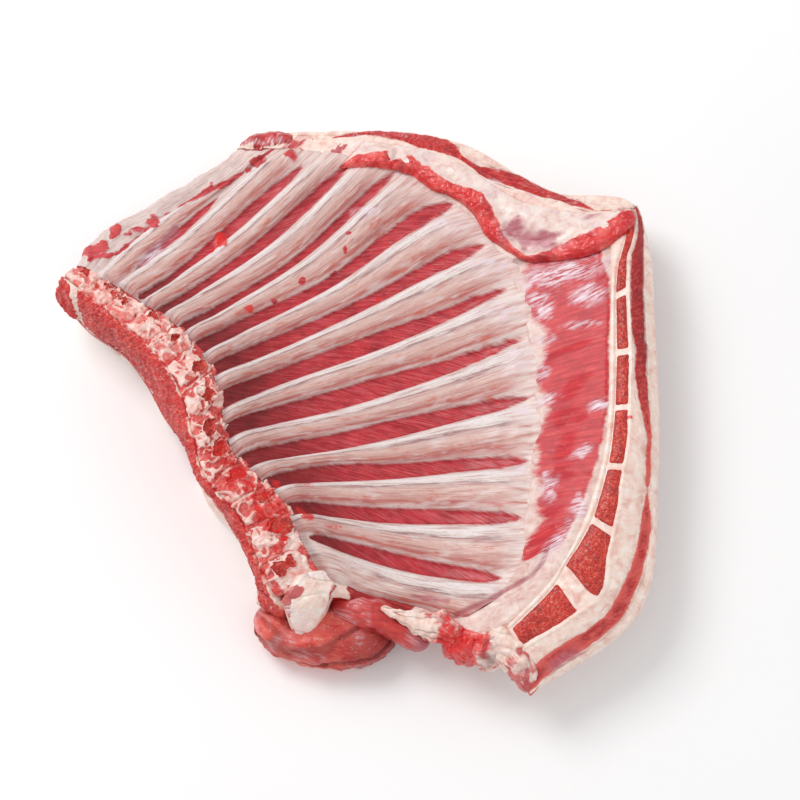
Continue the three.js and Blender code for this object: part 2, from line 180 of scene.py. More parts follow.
def hermite(points: Array, stations: Array, t: Array) -> Array:
    """Cubic through points, with slopes taken over the true distances between them.

    Args:
        points: Knots of n curves, shape (n, k, 3).
        stations: Parameter of each knot, shape (k,).
        t: Parameters at which each curve is wanted, shape (n, m).

    Returns:
        Places, shape (n, m, 3); beyond the ends the curve runs on straight.
    """
    leg = np.diff(points, axis=1)
    gap = np.linalg.norm(leg, axis=2, keepdims=True)
    run = leg / gap
    slope = np.empty_like(points)
    slope[:, 0] = run[:, 0]
    slope[:, -1] = run[:, -1]
    before, after = gap[:, :-1], gap[:, 1:]
    slope[:, 1:-1] = (run[:, :-1] * after + run[:, 1:] * before) / (before + after)
    i = np.clip(np.searchsorted(stations, t, side="left") - 1, 0, len(stations) - 2)
    s = ((t - stations[i]) / (stations[i + 1] - stations[i]))[..., None]
    curve = np.arange(len(points))[:, None]
    first, last, length = points[curve, i], points[curve, i + 1], gap[curve, i]
    leave, arrive = slope[curve, i] * length, slope[curve, i + 1] * length
    c = np.clip(s, 0.0, 1.0)
    inner = first * (2 * c**3 - 3 * c**2 + 1) + leave * (c**3 - 2 * c**2 + c)
    inner += last * (3 * c**2 - 2 * c**3) + arrive * (c**3 - c**2)
    return inner + np.minimum(s, 0.0) * leave + np.maximum(s - 1.0, 0.0) * arrive


def table(stations: Sequence[float], values: Sequence[float]) -> Run:
    """Function that runs straight from value to value over its stations."""
    return lambda place: np.interp(place, stations, values)


def edge_pair(entries: Sequence[tuple[float, float, float]]) -> tuple[Run, Run]:
    """Two lanes over the rows, from entries of a row and the lane of each of them there."""
    rows, first, second = zip(*entries)
    return table(rows, first), table(rows, second)


# ---- the patch


@dataclass(frozen=True)
class Rail:
    """One guide rail of the patch, from the neck to the loin.

    Attributes:
        lane: Lane number.
        thickness: Height of the body under it, or None where it stands on the table.
        points: One place for each guide row.
    """

    lane: float
    thickness: Optional[float]
    points: tuple[tuple[float, float, float], ...]


GUIDE_ROWS = np.array([0, 1, 3, 5, 6, 7, 8, 9, 11, LAST_ROW])
RAILS = (
    Rail(-2, 6, ((-68, -132, 30), (-69, -114, 30), (-90, -72, 24), (-109, -39, 22), (-123, -18, 22),
                 (-135, -2, 22), (-148, 21, 23), (-163, 41, 24), (-190, 60, 28), (-211, 83, 38))),
    Rail(-1, None, ((-49, -143, 54), (-62, -121, 62), (-78, -84, 70), (-102, -55, 74), (-108, -33, 75),
                    (-115, -9, 75), (-122, 8, 75), (-134, 26, 74), (-166, 55, 70), (-203, 88, 58))),
    Rail(0, None, ((-11, -131, 46), (-24, -110, 54), (-49, -65, 58), (-82, -30, 60), (-87, -10, 60),
                   (-92, 13, 60), (-101, 32, 59), (-115, 49, 58), (-149, 75, 54), (-195, 104, 46))),
    Rail(0.3, None, ((2, -133, 38), (-5, -116, 42), (-31, -58, 40), (-61, -16, 40), (-66, 6, 40),
                     (-73, 28, 40), (-83, 49, 40), (-96, 66, 40), (-132, 92, 38), (-185, 124, 36))),
    Rail(1, None, ((30, -140, 32), (43, -127, 30), (33, -54, 25), (20, 7, 22), (9, 38, 22),
                   (-3, 65, 22), (-23, 86, 22), (-44, 105, 22), (-92, 122, 25), (-152, 154, 28))),
    Rail(2, 20, ((67, -157, 42), (92, -133, 45), (113, -54, 40), (118, 36, 35), (112, 75, 33),
                 (100, 113, 31), (74, 148, 30), (37, 178, 29), (-20, 195, 28), (-91, 200, 26))),
    Rail(3, 24, ((94, -154, 54), (127, -120, 57), (158, -55, 59), (170, 46, 57), (172, 91, 54),
                 (170, 118, 50), (103, 151, 37), (49, 188, 31), (-16, 201, 27), (-87, 206, 24))),
    Rail(4, 22, ((103, -169, 54), (144, -141, 60), (172, -57, 62), (183, 48, 60), (186, 99, 57),
                 (184, 130, 51), (122, 156, 38), (58, 199, 29), (-13, 210, 24), (-82, 210, 22))),
    Rail(5, 8, ((110, -194, 44), (182, -141, 48), (198, -51, 50), (201, 56, 50), (200, 112, 48),
                (190, 150, 43), (137, 163, 34), (67, 207, 25), (-10, 218, 20), (-77, 215, 20))),
)
NECK_LIFT = 4.0  # the underside turns up at the neck and loin ends
LIFT_ROWS = 0.6
NORMAL_STEP = 0.01
EASE_BAND = np.array([1.2, 1.2, 2.5])  # along X, Y and Z
SKIN_SIDE = 3.0  # height over the underside where the other pieces end
THINNEST = 4.0  # least thickness of a piece that reaches down to there
CLEARANCE = 0.5  # least height of the other pieces over the underside
ON_FLANK = -0.8  # depth of a piece that lies on the flank
WALL_SHARES = (0.03, 0.12, 0.3, 0.5, 0.72, 0.94)  # rings of a wall, from its top to its foot


@dataclass(frozen=True)
class Ground:
    """A stretch of the patch on a grid of rows (first axis) and lanes (second axis).

    Attributes:
        lane: Lane of each grid point.
        row: Row of each grid point.
        point: Its place.
        normal: Upward unit normal there.
        floor: Height of the underside below it.
        along: Distance from the first lane.
        pitch: Millimetres per row.
        stretch: Millimetres per lane.
    """

    lane: Array
    row: Array
    point: Array
    normal: Array
    floor: Array
    along: Array
    pitch: Array
    stretch: Array

    def noise(self, size: float, seed: int, octaves: int = 3) -> Array:
        """Uneven field with lumps of a size in millimetres, from about -1 to 1."""
        return fractal(self.point, size, seed, octaves)


class Patch:
    """The curved patch, from the rails of the part's source."""

    def __init__(self) -> None:
        """Takes the rails, and finds the row frame from the corner of the fat cover's box."""
        self.lanes = np.array([rail.lane for rail in RAILS], float)
        self.knots = np.array([rail.points for rail in RAILS], float)
        self.under = self.knots.copy()
        for i, rail in enumerate(RAILS):
            self.under[i, :, 2] = 0 if rail.thickness is None else self.knots[i, :, 2] - rail.thickness
        low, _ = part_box("fat_cover")
        corner = self.knots.reshape(-1, 3).min(axis=0)
        self.shift = np.array([low[0] / METRES - corner[0], low[1] / METRES - corner[1], 0.0])

    def _rows(self, knots: Array, rows: Array) -> Array:
        """Places of every rail at each row, shape (rows, rails, 3)."""
        stations = np.broadcast_to(rows, (len(self.lanes), len(rows)))
        return hermite(knots, GUIDE_ROWS, stations).transpose(1, 0, 2)

    def at(self, lane: Array, rows: Array) -> Array:
        """Places of lanes (n, m) at rows (n,), shape (n, m, 3)."""
        return hermite(self._rows(self.knots, rows), self.lanes, lane)

    def floor(self, lane: Array, rows: Array) -> Array:
        """Height of the underside at lanes (n, m) and rows (n,).

        Args:
            lane: Lanes, shape (n, m).
            rows: Rows, shape (n,).

        Returns:
            Heights, shape (n, m).
        """
        height = hermite(self._rows(self.under, rows), self.lanes, lane)[..., 2]
        lift = np.maximum(1 - rows / LIFT_ROWS, (rows - LAST_ROW + LIFT_ROWS) / LIFT_ROWS)
        return np.maximum(0.0, height + NECK_LIFT * np.maximum(0.0, lift)[:, None])

    def ground(self, lane: Array, rows: Array) -> Ground:
        """Samples the patch; normals and scales come from small steps along both axes.

        Args:
            lane: Lanes, shape (n, m).
            rows: Rows, shape (n,).

        Returns:
            The sampled stretch.
        """
        point = self.at(lane, rows)
        across = self.at(lane + NORMAL_STEP, rows) - self.at(lane - NORMAL_STEP, rows)
        down = self.at(lane, rows + NORMAL_STEP) - self.at(lane, rows - NORMAL_STEP)
        normal = np.cross(across, down)
        normal /= np.linalg.norm(normal, axis=-1, keepdims=True)
        step = np.linalg.norm(np.diff(point, axis=1), axis=-1)
        along = np.concatenate([np.zeros((len(rows), 1)), np.cumsum(step, axis=1)], axis=1)
        return Ground(
            lane=lane,
            row=np.broadcast_to(rows[:, None], lane.shape),
            point=point,
            normal=normal,
            floor=self.floor(lane, rows),
            along=along,
            pitch=np.linalg.norm(down, axis=-1) / (2 * NORMAL_STEP),
            stretch=np.linalg.norm(across, axis=-1) / (2 * NORMAL_STEP),
        )


PATCH = Patch()


@dataclass(frozen=True)
class Spot:
    """An oval mark on the patch.

    Attributes:
        lane: Lane of its middle.
        row: Row of its middle.
        long: Half its length.
        short: Half its width.
        turn: Turn of its length from +X, in degrees.
        strength: Value at its middle.
    """

    lane: float
    row: float
    long: float
    short: float
    turn: float = 0.0
    strength: float = 1.0


def spotted(ground: Ground, spots: Sequence[Spot]) -> Array:
    """Largest of the spots at each grid point: exp(-r^4) of the oval radius r in plan, bent by noise.

    Args:
        ground: Where the marks are wanted.
        spots: The marks.

    Returns:
        Strength of the marks.
    """
    total = np.zeros(ground.lane.shape)
    bend = ground.noise(6.0, 141)
    for spot in spots:
        middle = PATCH.at(np.array([[spot.lane]]), np.array([spot.row]))[0, 0]
        away = ground.point[..., :2] - middle[:2]
        c, s = math.cos(math.radians(spot.turn)), math.sin(math.radians(spot.turn))
        length = (away[..., 0] * c + away[..., 1] * s) / spot.long + 0.7 * bend
        width = (away[..., 1] * c - away[..., 0] * s) / spot.short + 0.7 * bend
        total = np.maximum(total, spot.strength * np.exp(-((length**2 + width**2) ** 2)))
    return total


@dataclass(frozen=True)
class Stroke:
    """A line drawn on the patch.

    Attributes:
        path: Lane and row of each of its corners.
        width: Half its width in millimetres.
    """

    path: tuple[tuple[float, float], ...]
    width: float


def stroked(ground: Ground, strokes: Sequence[Stroke]) -> Array:
    """Distance in plan into the nearest stroke: its half width less the distance to its path.

    Args:
        ground: Where it is wanted.
        strokes: The lines.

    Returns:
        Millimetres, negative outside of the strokes.
    """
    inside = np.full(ground.lane.shape, FAR)
    plan = ground.point[..., :2]
    for stroke in strokes:
        lanes, rows = np.array(stroke.path, float).T
        corners = PATCH.at(lanes[:, None], rows)[:, 0, :2]
        for start, end in zip(corners[:-1], corners[1:]):
            leg = end - start
            share = np.clip((plan - start) @ leg / (leg @ leg), 0.0, 1.0)
            away = np.linalg.norm(plan - start - share[..., None] * leg, axis=-1)
            inside = np.maximum(inside, stroke.width - away)
    return inside


def drawn_out(ground: Ground, across: float, down: float) -> Array:
    """Coordinates in cells so many millimetres long across the lanes and down the rows, shape (n, m, 3)."""
    return np.stack([ground.along / across, ground.row * ROW_MM / down, 0 * ground.row], axis=-1)


# ---- meshes


def numbered(grid: Array, start: int = 0) -> Array:
    """Vertex numbers of a grid of places, from start on."""
    return start + np.arange(grid.shape[0] * grid.shape[1]).reshape(grid.shape[:2])


def grid_quads(index: Array) -> Array:
    """Faces between neighbouring entries of an index grid, counter-clockwise from above."""
    corners = (index[:-1, :-1], index[:-1, 1:], index[1:, 1:], index[1:, :-1])
    return np.stack([corner.ravel() for corner in corners], axis=1)


def rim_of(grid: Array) -> Array:
    """Edge of a grid as one loop, counter-clockwise from above, without repeating its start."""
    return np.concatenate([grid[0, :-1], grid[:-1, -1], grid[-1, :0:-1], grid[:0:-1, 0]])


def closed(loops: Array) -> Array:
    """Loops (k, m) with their first entry repeated at the end."""
    return np.concatenate([loops, loops[:, :1]], axis=1)


def wall_triangles(upper: Array, lower: Array, step: int) -> Array:
    """Triangles between a fine edge and a coarse edge below it.

    Args:
        upper: Indices of the fine edge, step times as many as below, plus one.
        lower: Indices of the coarse edge.
        step: Fine stretches for each coarse one.

    Returns:
        Triangles, facing right of the edge's direction.
    """
    half = step // 2
    start, end = lower[:-1], lower[1:]
    parts = [np.stack([start, end, upper[half:-1:step] if half else upper[:-1:step]], axis=1)]
    for i in range(step):
        first = upper[i:-1:step]
        second = upper[i + 1::step]
        parts.append(np.stack([start if i < half else end, second, first], axis=1))
    return np.concatenate(parts)


def kept_inside(places: Array) -> Array:
    """Eases the outermost millimetres so that they end at the box of the CAD model.

    A place x millimetres past the easing band's start, of width w, moves to w (1 - exp(-x / w)).

    Args:
        places: Places in the row frame, in millimetres.

    Returns:
        The eased places.
    """
    low, high = (np.array(corner) / METRES for corner in CAD_BOX)
    high = high - EASE_BAND
    low = low + EASE_BAND * (1, 1, 0)
    past = np.maximum(places - high, 0.0)
    short = np.maximum(low - places, 0.0) * (1, 1, 0)
    eased = np.clip(places, low, high)
    return eased + EASE_BAND * (np.exp(-short / EASE_BAND) - np.exp(-past / EASE_BAND))


def linked(name: str, data: bpy.types.ID) -> Piece:
    """New object with some data, linked to the scene.

    Args:
        name: Its name.
        data: Mesh, lamp or camera.

    Returns:
        The new object.
    """
    made = bpy.data.objects.new(name, data)
    bpy.context.collection.objects.link(made)
    return made


def make_object(name: str, vertices: Array, faces: Sequence[Array], grain: Array, marks: Marks) -> Piece:
    """Makes a smooth-shaded object with its grain map and point attributes.

    Args:
        name: Name of the object and its mesh.
        vertices: Places in millimetres in the part's frame, shape (n, 3).
        faces: Arrays of quads and triangles.
        grain: Grain coordinates in centimetres, shape (n, 2).
        marks: Point attributes, each of shape (n,).

    Returns:
        The object, at the origin, with its place in its mesh.
    """
    mesh = bpy.data.meshes.new(name)
    placed = kept_inside(vertices + PATCH.shift) * METRES
    mesh.from_pydata(placed.tolist(), [], [face for part in faces for face in part.tolist()])
    layer = mesh.uv_layers.new(name=Space.GRAIN.value)
    corner = np.empty(len(mesh.loops), np.int32)
    mesh.loops.foreach_get("vertex_index", corner)
    layer.data.foreach_set("uv", grain[corner].astype(np.float32).ravel())
    for key, values in marks.items():
        mesh.attributes.new(key, "FLOAT", "POINT").data.foreach_set("value", values.astype(np.float32))
    mesh.shade_smooth()
    mesh.update()
    return linked(name, mesh)


# ---- materials


def colour(text: str) -> tuple[float, float, float, float]:
    """Linear colour of a #rrggbb text, by the sRGB curve.

    Args:
        text: Colour as #rrggbb.

    Returns:
        Red, green, blue and 1.
    """
    parts = [int(text[i:i + 2], 16) / 255.0 for i in (1, 3, 5)]
    linear = [p / 12.92 if p <= 0.04045 else ((p + 0.055) / 1.055) ** 2.4 for p in parts]
    return (*linear, 1.0)


class Recipe:
    """Node tree of one material, with short methods for the nodes that the finishes use."""

    def __init__(self, name: str) -> None:
        """Starts a material with a Principled shader.

        Args:
            name: Name of the material.
        """
        self.material = bpy.data.materials.new(name)
        self.material.use_nodes = True
        self.tree = self.material.node_tree
        self.shader = self.tree.nodes["Principled BSDF"]
        self.bumped: Optional[Socket] = None
        self.spaces = {
            Space.OBJECT: self.node("ShaderNodeTexCoord").outputs["Object"],
            Space.GRAIN: self.node("ShaderNodeUVMap", uv_map=Space.GRAIN.value).outputs["UV"],
        }

    def node(self, kind: str, **settings: object) -> bpy.types.Node:
        """New node of a kind with its settings.

        Args:
            kind: Type of the node.
            settings: Its properties.

        Returns:
            The node.
        """
        made = self.tree.nodes.new(kind)
        for key, value in settings.items():
            setattr(made, key, value)
        return made

    def feed(self, socket: Socket, value: object) -> None:
        """Links a socket, or sets a plain value on it.

        Args:
            socket: Input to set.
            value: Output to link, colour text or number.
        """
        if isinstance(value, Socket):
            self.tree.links.new(value, socket)
        elif isinstance(value, str):
            socket.default_value = colour(value)
        else:
            socket.default_value = value

    def math(self, operation: str, *values: object) -> Socket:
        """Result of a Math node over its values.

        Args:
            operation: What it works out.
            values: Its inputs, in order.

        Returns:
            Its output.
        """
        made = self.node("ShaderNodeMath", operation=operation)
        for socket, value in zip(made.inputs, values):
            self.feed(socket, value)
        return made.outputs[0]

    def mix(self, share: object, a: object, b: object, blend: str = "MIX") -> Socket:
        """Mix of two colours.

        Args:
            share: Share of b.
            a: First colour.
            b: Second colour.
            blend: Way of blending.

        Returns:
            The mixed colour.
        """
        made = self.node("ShaderNodeMix", data_type="RGBA", blend_type=blend)
        self.feed(made.inputs[0], share)
        self.feed(made.inputs[6], a)
        self.feed(made.inputs[7], b)
        return made.outputs[2]

    def mark(self, name: str) -> Socket:
        """Value of a point attribute."""
        return self.node("ShaderNodeAttribute", attribute_name=name).outputs["Fac"]

    def step(self, value: object, low: float, high: float, top: float = 1.0) -> Socket:
        """Smooth step of a value from 0 at low to top at high.

        Args:
            value: Input.
            low: Where it starts.
            high: Where it ends.
            top: Its highest value.

        Returns:
            Its output.
        """
        made = self.node("ShaderNodeMapRange", interpolation_type="SMOOTHSTEP")
        for i, number in enumerate((value, low, high, 0.0, top)):
            self.feed(made.inputs[i], number)
        return made.outputs[0]

    def over(self, base: Socket, tone: str, step: Sequence[float], size: Size, **noise: float) -> Socket:
        """Base with a tone over it where a noise is high: the step's numbers are low, high and top."""
        return self.mix(self.step(self.noise(size, **noise), *step), base, tone)

    def ramp(self, value: object, stops: Sequence[tuple[float, str]]) -> Socket:
        """Colour ramp over a value.

        Args:
            value: What is looked up, from 0 to 1.
            stops: Places and colours.

        Returns:
            The colour.
        """
        made = self.node("ShaderNodeValToRGB")
        elements = made.color_ramp.elements
        while len(elements) < len(stops):
            elements.new(0.5)
        for element, (place, text) in zip(elements, stops):
            element.position = place
            element.color = colour(text)
        self.feed(made.inputs[0], value)
        return made.outputs[0]

    def _laid_out(self, size: Size, turn: float = 0.0, shift: float = 0.0) -> Socket:
        """Coordinates in cells of the given size, turned first."""
        even = isinstance(size, float)
        sizes = (size * METRES,) * 3 if even else (size[0] / CENTIMETRE, size[1] / CENTIMETRE, 1.0)
        made = self.node("ShaderNodeMapping", vector_type="TEXTURE")
        self.feed(made.inputs["Vector"], self.spaces[Space.OBJECT if even else Space.GRAIN])
        made.inputs["Location"].default_value = (shift, 0.7 * shift, 0.3 * shift)
        made.inputs["Rotation"].default_value = (0.0, 0.0, math.radians(turn))
        made.inputs["Scale"].default_value = sizes
        return made.outputs[0]

    def noise(
        self,
        size: Size,
        turn: float = 0.0,
        detail: float = 3.0,
        bend: float = 0.0,
        shift: float = 0.0,
    ) -> Socket:
        """Noise with cells of a size in millimetres.

        Args:
            size: One size in Object coordinates, or a length and a width along the grain.
            turn: Turn of the cells, in degrees.
            detail: Octaves.
            bend: Distortion.
            shift: Moves the pattern, to make another one.

        Returns:
            Numbers from 0 to 1, about 0.5 in the mean.
        """
        made = self.node("ShaderNodeTexNoise")
        self.feed(made.inputs["Vector"], self._laid_out(size, turn, shift))
        for name, value in (("Scale", 1.0), ("Detail", detail), ("Roughness", 0.6), ("Distortion", bend)):
            made.inputs[name].default_value = value
        return made.outputs[0]

    def cells(self, size: float) -> Socket:
        """Distance to the middle of each cell of an uneven honeycomb, in cells.

        Args:
            size: Size of a cell in millimetres.

        Returns:
            The distance.
        """
        made = self.node("ShaderNodeTexVoronoi", feature="F1")
        self.feed(made.inputs["Vector"], self._laid_out(size))
        made.inputs["Scale"].default_value = 1.0
        return made.outputs["Distance"]

    def bump(self, height: object, distance: float) -> None:
        """Adds relief, distance millimetres high, to the shader's normal.

        Args:
            height: Share of the relief.
            distance: Its height in millimetres.
        """
        made = self.node("ShaderNodeBump")
        made.inputs["Strength"].default_value = 1.0
        made.inputs["Distance"].default_value = distance * METRES
        self.feed(made.inputs["Height"], height)
        if self.bumped is not None:
            self.feed(made.inputs["Normal"], self.bumped)
        self.bumped = made.outputs[0]

    def finish(self, base: Socket, roughness: object, wet: float, soft: float) -> bpy.types.Material:
        """Feeds the shader.

        Args:
            base: Base colour.
            roughness: Roughness.
            wet: Weight of the wet coat.
            soft: Weight of the light that goes under the surface.

        Returns:
            The material.
        """
        self.feed(self.shader.inputs["Base Color"], base)
        self.feed(self.shader.inputs["Roughness"], roughness)
        if self.bumped is not None:
            self.feed(self.shader.inputs["Normal"], self.bumped)
        for name, value in (
            ("Specular IOR Level", 0.28),
            ("Coat Weight", wet),
            ("Coat Roughness", 0.12),
            ("Subsurface Weight", soft),
            ("Subsurface Radius", (1.0, 0.35, 0.22)),
            ("Subsurface Scale", 0.002),
        ):
            self.shader.inputs[name].default_value = value
        return self.material


SMOOTHEST = 0.12  # lowest roughness, where the meat is wet
TRANSLUCENCE = 0.12  # share of the light that goes under the surface


@dataclass(frozen=True)
class Tissue:
    """Finish of meat and fat, mixed by the marks of a piece.

    The mark flesh is the distance in millimetres into the red muscle, and is negative in the fat.
    The marks marrow, blood, sheen, lilac and shade go from 0 to 1 and lay spongy bone, blood,
    silvery skin with painted sheen, mauve skin and a darker tone over them. The darker tone is
    painted shade in some pieces and the tissue's own colour in others.

    Attributes:
        name: Name of the material.
        slot: Material slot of the record; not used.
        pale: Fat colours, from its hollows to its crests.
        red: Muscle colours, from dark fibres to light ones.
        fibre: Length and width of a muscle fibre.
        turn: Turn of the fibres from the grain, in degrees.
        ragged: How far the edge of the muscle wanders.
        flecks: Share of cream flecks in the muscle.
        veins: Share of pink in the fat.
        rough: Roughness.
        wet: Weight of the wet coat.
        relief: Height of the fine relief.
    """

    name: str
    slot: str
    pale: tuple[str, str, str] = ("#d9a79a", "#efd0c2", "#fbe9df")
    red: tuple[str, str, str] = ("#8e2028", "#c4464c", "#dc7772")
    fibre: tuple[float, float] = (14.0, 0.9)
    turn: float = 0.0
    ragged: float = 1.6
    flecks: float = 0.25
    veins: float = 0.35
    rough: float = 0.42
    wet: float = 0.25
    relief: float = 0.35

    def fat(self, recipe: Recipe) -> Socket:
        """Fat: soft cream lumps with thin pink veins.

        Args:
            recipe: Material to add nodes to.

        Returns:
            Its colour.
        """
        lumps = recipe.noise(7.0, detail=4.0, bend=0.6)
        base = recipe.ramp(lumps, tuple(zip((0.28, 0.47, 0.68), self.pale)))
        veins = (0.52, 0.7, self.veins)
        return recipe.over(base, "#e0847f", veins, (16.0, 2.2), turn=12.0, bend=1.2, shift=3.0)

    def flesh(self, recipe: Recipe) -> Socket:
        """Muscle: fibres along the grain, darker patches and cream flecks.

        Args:
            recipe: Material to add nodes to.

        Returns:
            Its colour.
        """
        base = recipe.ramp(recipe.noise(self.fibre, self.turn), tuple(zip((0.3, 0.5, 0.72), self.red)))
        base = recipe.over(base, self.red[0], (0.4, 0.7, 0.55), 11.0, detail=2.0, shift=5.0)
        base = recipe.mix(recipe.math("MULTIPLY", recipe.mark("light"), 0.8), base, self.red[2])
        long, wide = self.fibre
        fleck, flecks = (0.35 * long, 1.3 * wide), (0.6, 0.7, self.flecks)
        return recipe.over(base, self.pale[1], flecks, fleck, turn=self.turn, detail=2.0, shift=8.0)

    def edge(self, recipe: Recipe) -> Socket:
        """Share of muscle: a step over the flesh mark, which wanders more where it is frayed.

        Args:
            recipe: Material to add nodes to.

        Returns:
            Share from 0 to 1.
        """
        wander = recipe.noise((10.0, 1.3), self.turn, shift=11.0)
        broad = recipe.noise((16.0, 4.5), self.turn, detail=2.0, shift=14.0)
        wander = recipe.math("SUBTRACT", recipe.math("ADD", wander, broad), 1.0)
        amount = recipe.math("MULTIPLY_ADD", recipe.mark("frayed"), 8.0 * self.ragged, 3.0 * self.ragged)
        moved = recipe.math("MULTIPLY", wander, amount)
        return recipe.step(recipe.math("ADD", recipe.mark("flesh"), moved), -0.8, 0.8)

    def sponge(self, recipe: Recipe, pores: Socket, crumb: Socket) -> Socket:
        """Spongy bone: red pores with darker patches and pale crumbs."""
        base = recipe.ramp(pores, ((0.05, "#6e0c10"), (0.28, "#c02422"), (0.75, "#de4c3c")))
        base = recipe.over(base, "#8c1418", (0.42, 0.66, 0.55), 7.0, shift=21.0)
        return recipe.mix(recipe.step(crumb, 0.52, 0.7, 0.6), base, "#ee9078")

    def material(self) -> bpy.types.Material:
        """Builds the material: fat and muscle, then a darker tone, bone, mauve skin, silvery skin with
        painted sheen, and blood over them.

        Returns:
            The finished material.
        """
        recipe = Recipe(self.name)
        base = recipe.mix(self.edge(recipe), self.fat(recipe), self.flesh(recipe))
        # Dark red by the shade mark: painted shade beside the spine, under the diaphragm's edge and in the
        # folds of the rolls; the tissue's own darker tone elsewhere.
        base = recipe.mix(recipe.mark("shade"), base, "#6b1820")
        pores = recipe.cells(1.0)
        crumb = recipe.noise(2.2, detail=4.0, shift=2.0)
        loose = recipe.math("SUBTRACT", crumb, 0.5)
        bony = recipe.step(recipe.math("ADD", recipe.mark("marrow"), loose), 0.35, 0.6)
        base = recipe.mix(bony, base, self.sponge(recipe, pores, crumb))
        streak = recipe.noise((11.0, 1.1), 7.0, detail=4.0, bend=0.4, shift=6.0)
        mauve = recipe.ramp(streak, ((0.3, "#a03244"), (0.75, "#cc8490")))
        base = recipe.mix(recipe.mark("lilac"), base, mauve)
        # Silvery skin with painted sheen: a pale lilac over the streaks where the sheen mark is.
        silver_sheen = recipe.math("MULTIPLY", recipe.mark("sheen"), recipe.step(streak, 0.38, 0.62))
        base = recipe.mix(silver_sheen, base, "#e8d8e1")
        bloody = recipe.step(recipe.math("ADD", recipe.mark("blood"), loose), 0.3, 0.7, 0.85)
        base = recipe.mix(bloody, base, "#dd1c1a")
        shine = recipe.math("MULTIPLY", recipe.math("MAXIMUM", silver_sheen, bloody), 0.2)
        dull = recipe.math("SUBTRACT", recipe.math("MULTIPLY_ADD", loose, 0.3, self.rough), shine)
        recipe.bump(recipe.noise(self.fibre, self.turn), self.relief)
        recipe.bump(crumb, 0.5 * self.relief)
        recipe.bump(recipe.math("MULTIPLY", pores, recipe.mark("marrow")), 0.5)
        return recipe.finish(base, recipe.math("MAXIMUM", SMOOTHEST, dull), self.wet, TRANSLUCENCE)


@dataclass(frozen=True)
class RibWallTissue(Tissue):
    """Finish of the ribs and the muscle between them.

    The mark across goes from -1 to 1 over a rib, from its neck side to its loin side, and the
    mark tip from 0 to 1 along it. The mark spine_shade_and_tone darkens the muscle near the spine:
    partly its own darker colour, partly painted shade of the steep wall there.
    """

    def fat(self, recipe: Recipe) -> Socket:
        """Bone under its skin: membrane, red streak, tan bone, a grey crease of painted shade, and a white
        strip that is partly painted light on the rib's lit side.
        """
        across = recipe.mark("across")
        streaks = recipe.math("SUBTRACT", recipe.noise((26.0, 1.6), detail=4.0, shift=1.0), 0.5)
        place = recipe.math("MULTIPLY_ADD", recipe.math("MULTIPLY_ADD", streaks, 0.7, across), 0.5, 0.5)
        # The grey stop at 0.67 lies on the relief's crease and is painted shade; the white stops from 0.72 to
        # 0.88 are white skin, whiter in part as painted light on the lit side.
        bone = recipe.ramp(place, (
            (0.02, "#e0cac6"), (0.1, "#cc938c"), (0.16, "#b9605a"), (0.24, "#d0a097"), (0.5, "#ddbdb3"),
            (0.62, "#ccada8"), (0.67, "#9a7678"), (0.72, "#e0d3cd"), (0.88, "#efe7e6"), (1.0, "#dcc8c2"),
        ))
        rust = recipe.step(recipe.noise((14.0, 3.5), detail=4.0, shift=9.0), 0.54, 0.72)
        rusty = recipe.math("MULTIPLY", rust, recipe.step(across, 0.5, -0.3, 0.75))
        bone = recipe.mix(rusty, bone, "#cf6550")
        bone = recipe.over(bone, "#e6dad8", (0.5, 0.7, 0.55), (18.0, 3.0), detail=2.0, shift=13.0)
        bone = recipe.over(bone, "#b77a74", (0.5, 0.64, 0.62), (30.0, 0.7), detail=4.0, shift=4.0)
        bone = recipe.over(bone, "#c4827a", (0.54, 0.7, 0.35), (3.0, 0.8), shift=19.0)
        strands = recipe.noise((24.0, 1.8), detail=5.0, shift=17.0)
        skin = recipe.ramp(strands, ((0.32, "#c07a74"), (0.43, "#dab5ad"), (0.58, "#eedcd6")))
        return recipe.mix(recipe.mark("tip"), bone, skin)

    def flesh(self, recipe: Recipe) -> Socket:
        """Muscle between the ribs: slanted fibres, pale hairs and a dark end near the spine, partly painted
        shade.
        """
        base = super().flesh(recipe)
        hair = (12.0, 0.45)
        base = recipe.over(base, "#e08f86", (0.56, 0.7, 0.4), hair, turn=self.turn, detail=2.0, shift=15.0)
        base = recipe.over(base, "#d8606a", (0.46, 0.7, 0.5), (30.0, 2.6), turn=self.turn, shift=23.0)
        # Painted shade: the muscle near the spine darkened, partly its own darker colour and partly the shade
        # of the steep wall there.
        return recipe.mix(recipe.mark("spine_shade_and_tone"), base, "#8c2430", "MULTIPLY")


FAT = Tissue("cream_fat", "fat", flecks=0.1, veins=0.14, pale=("#e6b5a8", "#f4d6c9", "#fcebe1"))
BACK_MEAT = Tissue(
    "back_meat", "red_muscle", red=("#ad1c25", "#d63f3a", "#ec6c5e"), fibre=(6.0, 1.8), flecks=0.4,
    ragged=0.8, relief=0.8, rough=0.46,
)
BREAST_MEAT = Tissue(
    "breast_meat", "red_muscle", red=("#94151c", "#c42c2e", "#e2635a"), fibre=(4.0, 1.2), flecks=0.16,
    ragged=0.5,
)
NECK_MEAT = Tissue(
    "neck_meat", "dark_muscle", red=("#840c14", "#b2191f", "#d0443f"), fibre=(24.0, 2.0), flecks=0.1,
    wet=0.35,
)
LINING = Tissue(
    "breast_lining", "lining", pale=("#d3a198", "#e3c6bd", "#efdcd4"), red=("#ac0f24", "#cd2632", "#de4a45"),
    fibre=(26.0, 1.2), flecks=0.08, ragged=0.35, wet=0.2, rough=0.5, veins=0.2, relief=0.25,
)
MIDRIFF_MEAT = Tissue(
    "midriff", "red_muscle", pale=("#dcaea6", "#eed4cb", "#f6e6df"), red=("#bd1a22", "#e2393a", "#f0706a"),
    fibre=(7.0, 2.2), flecks=0.15, ragged=0.7, wet=0.55, relief=0.8, veins=0.12,
)
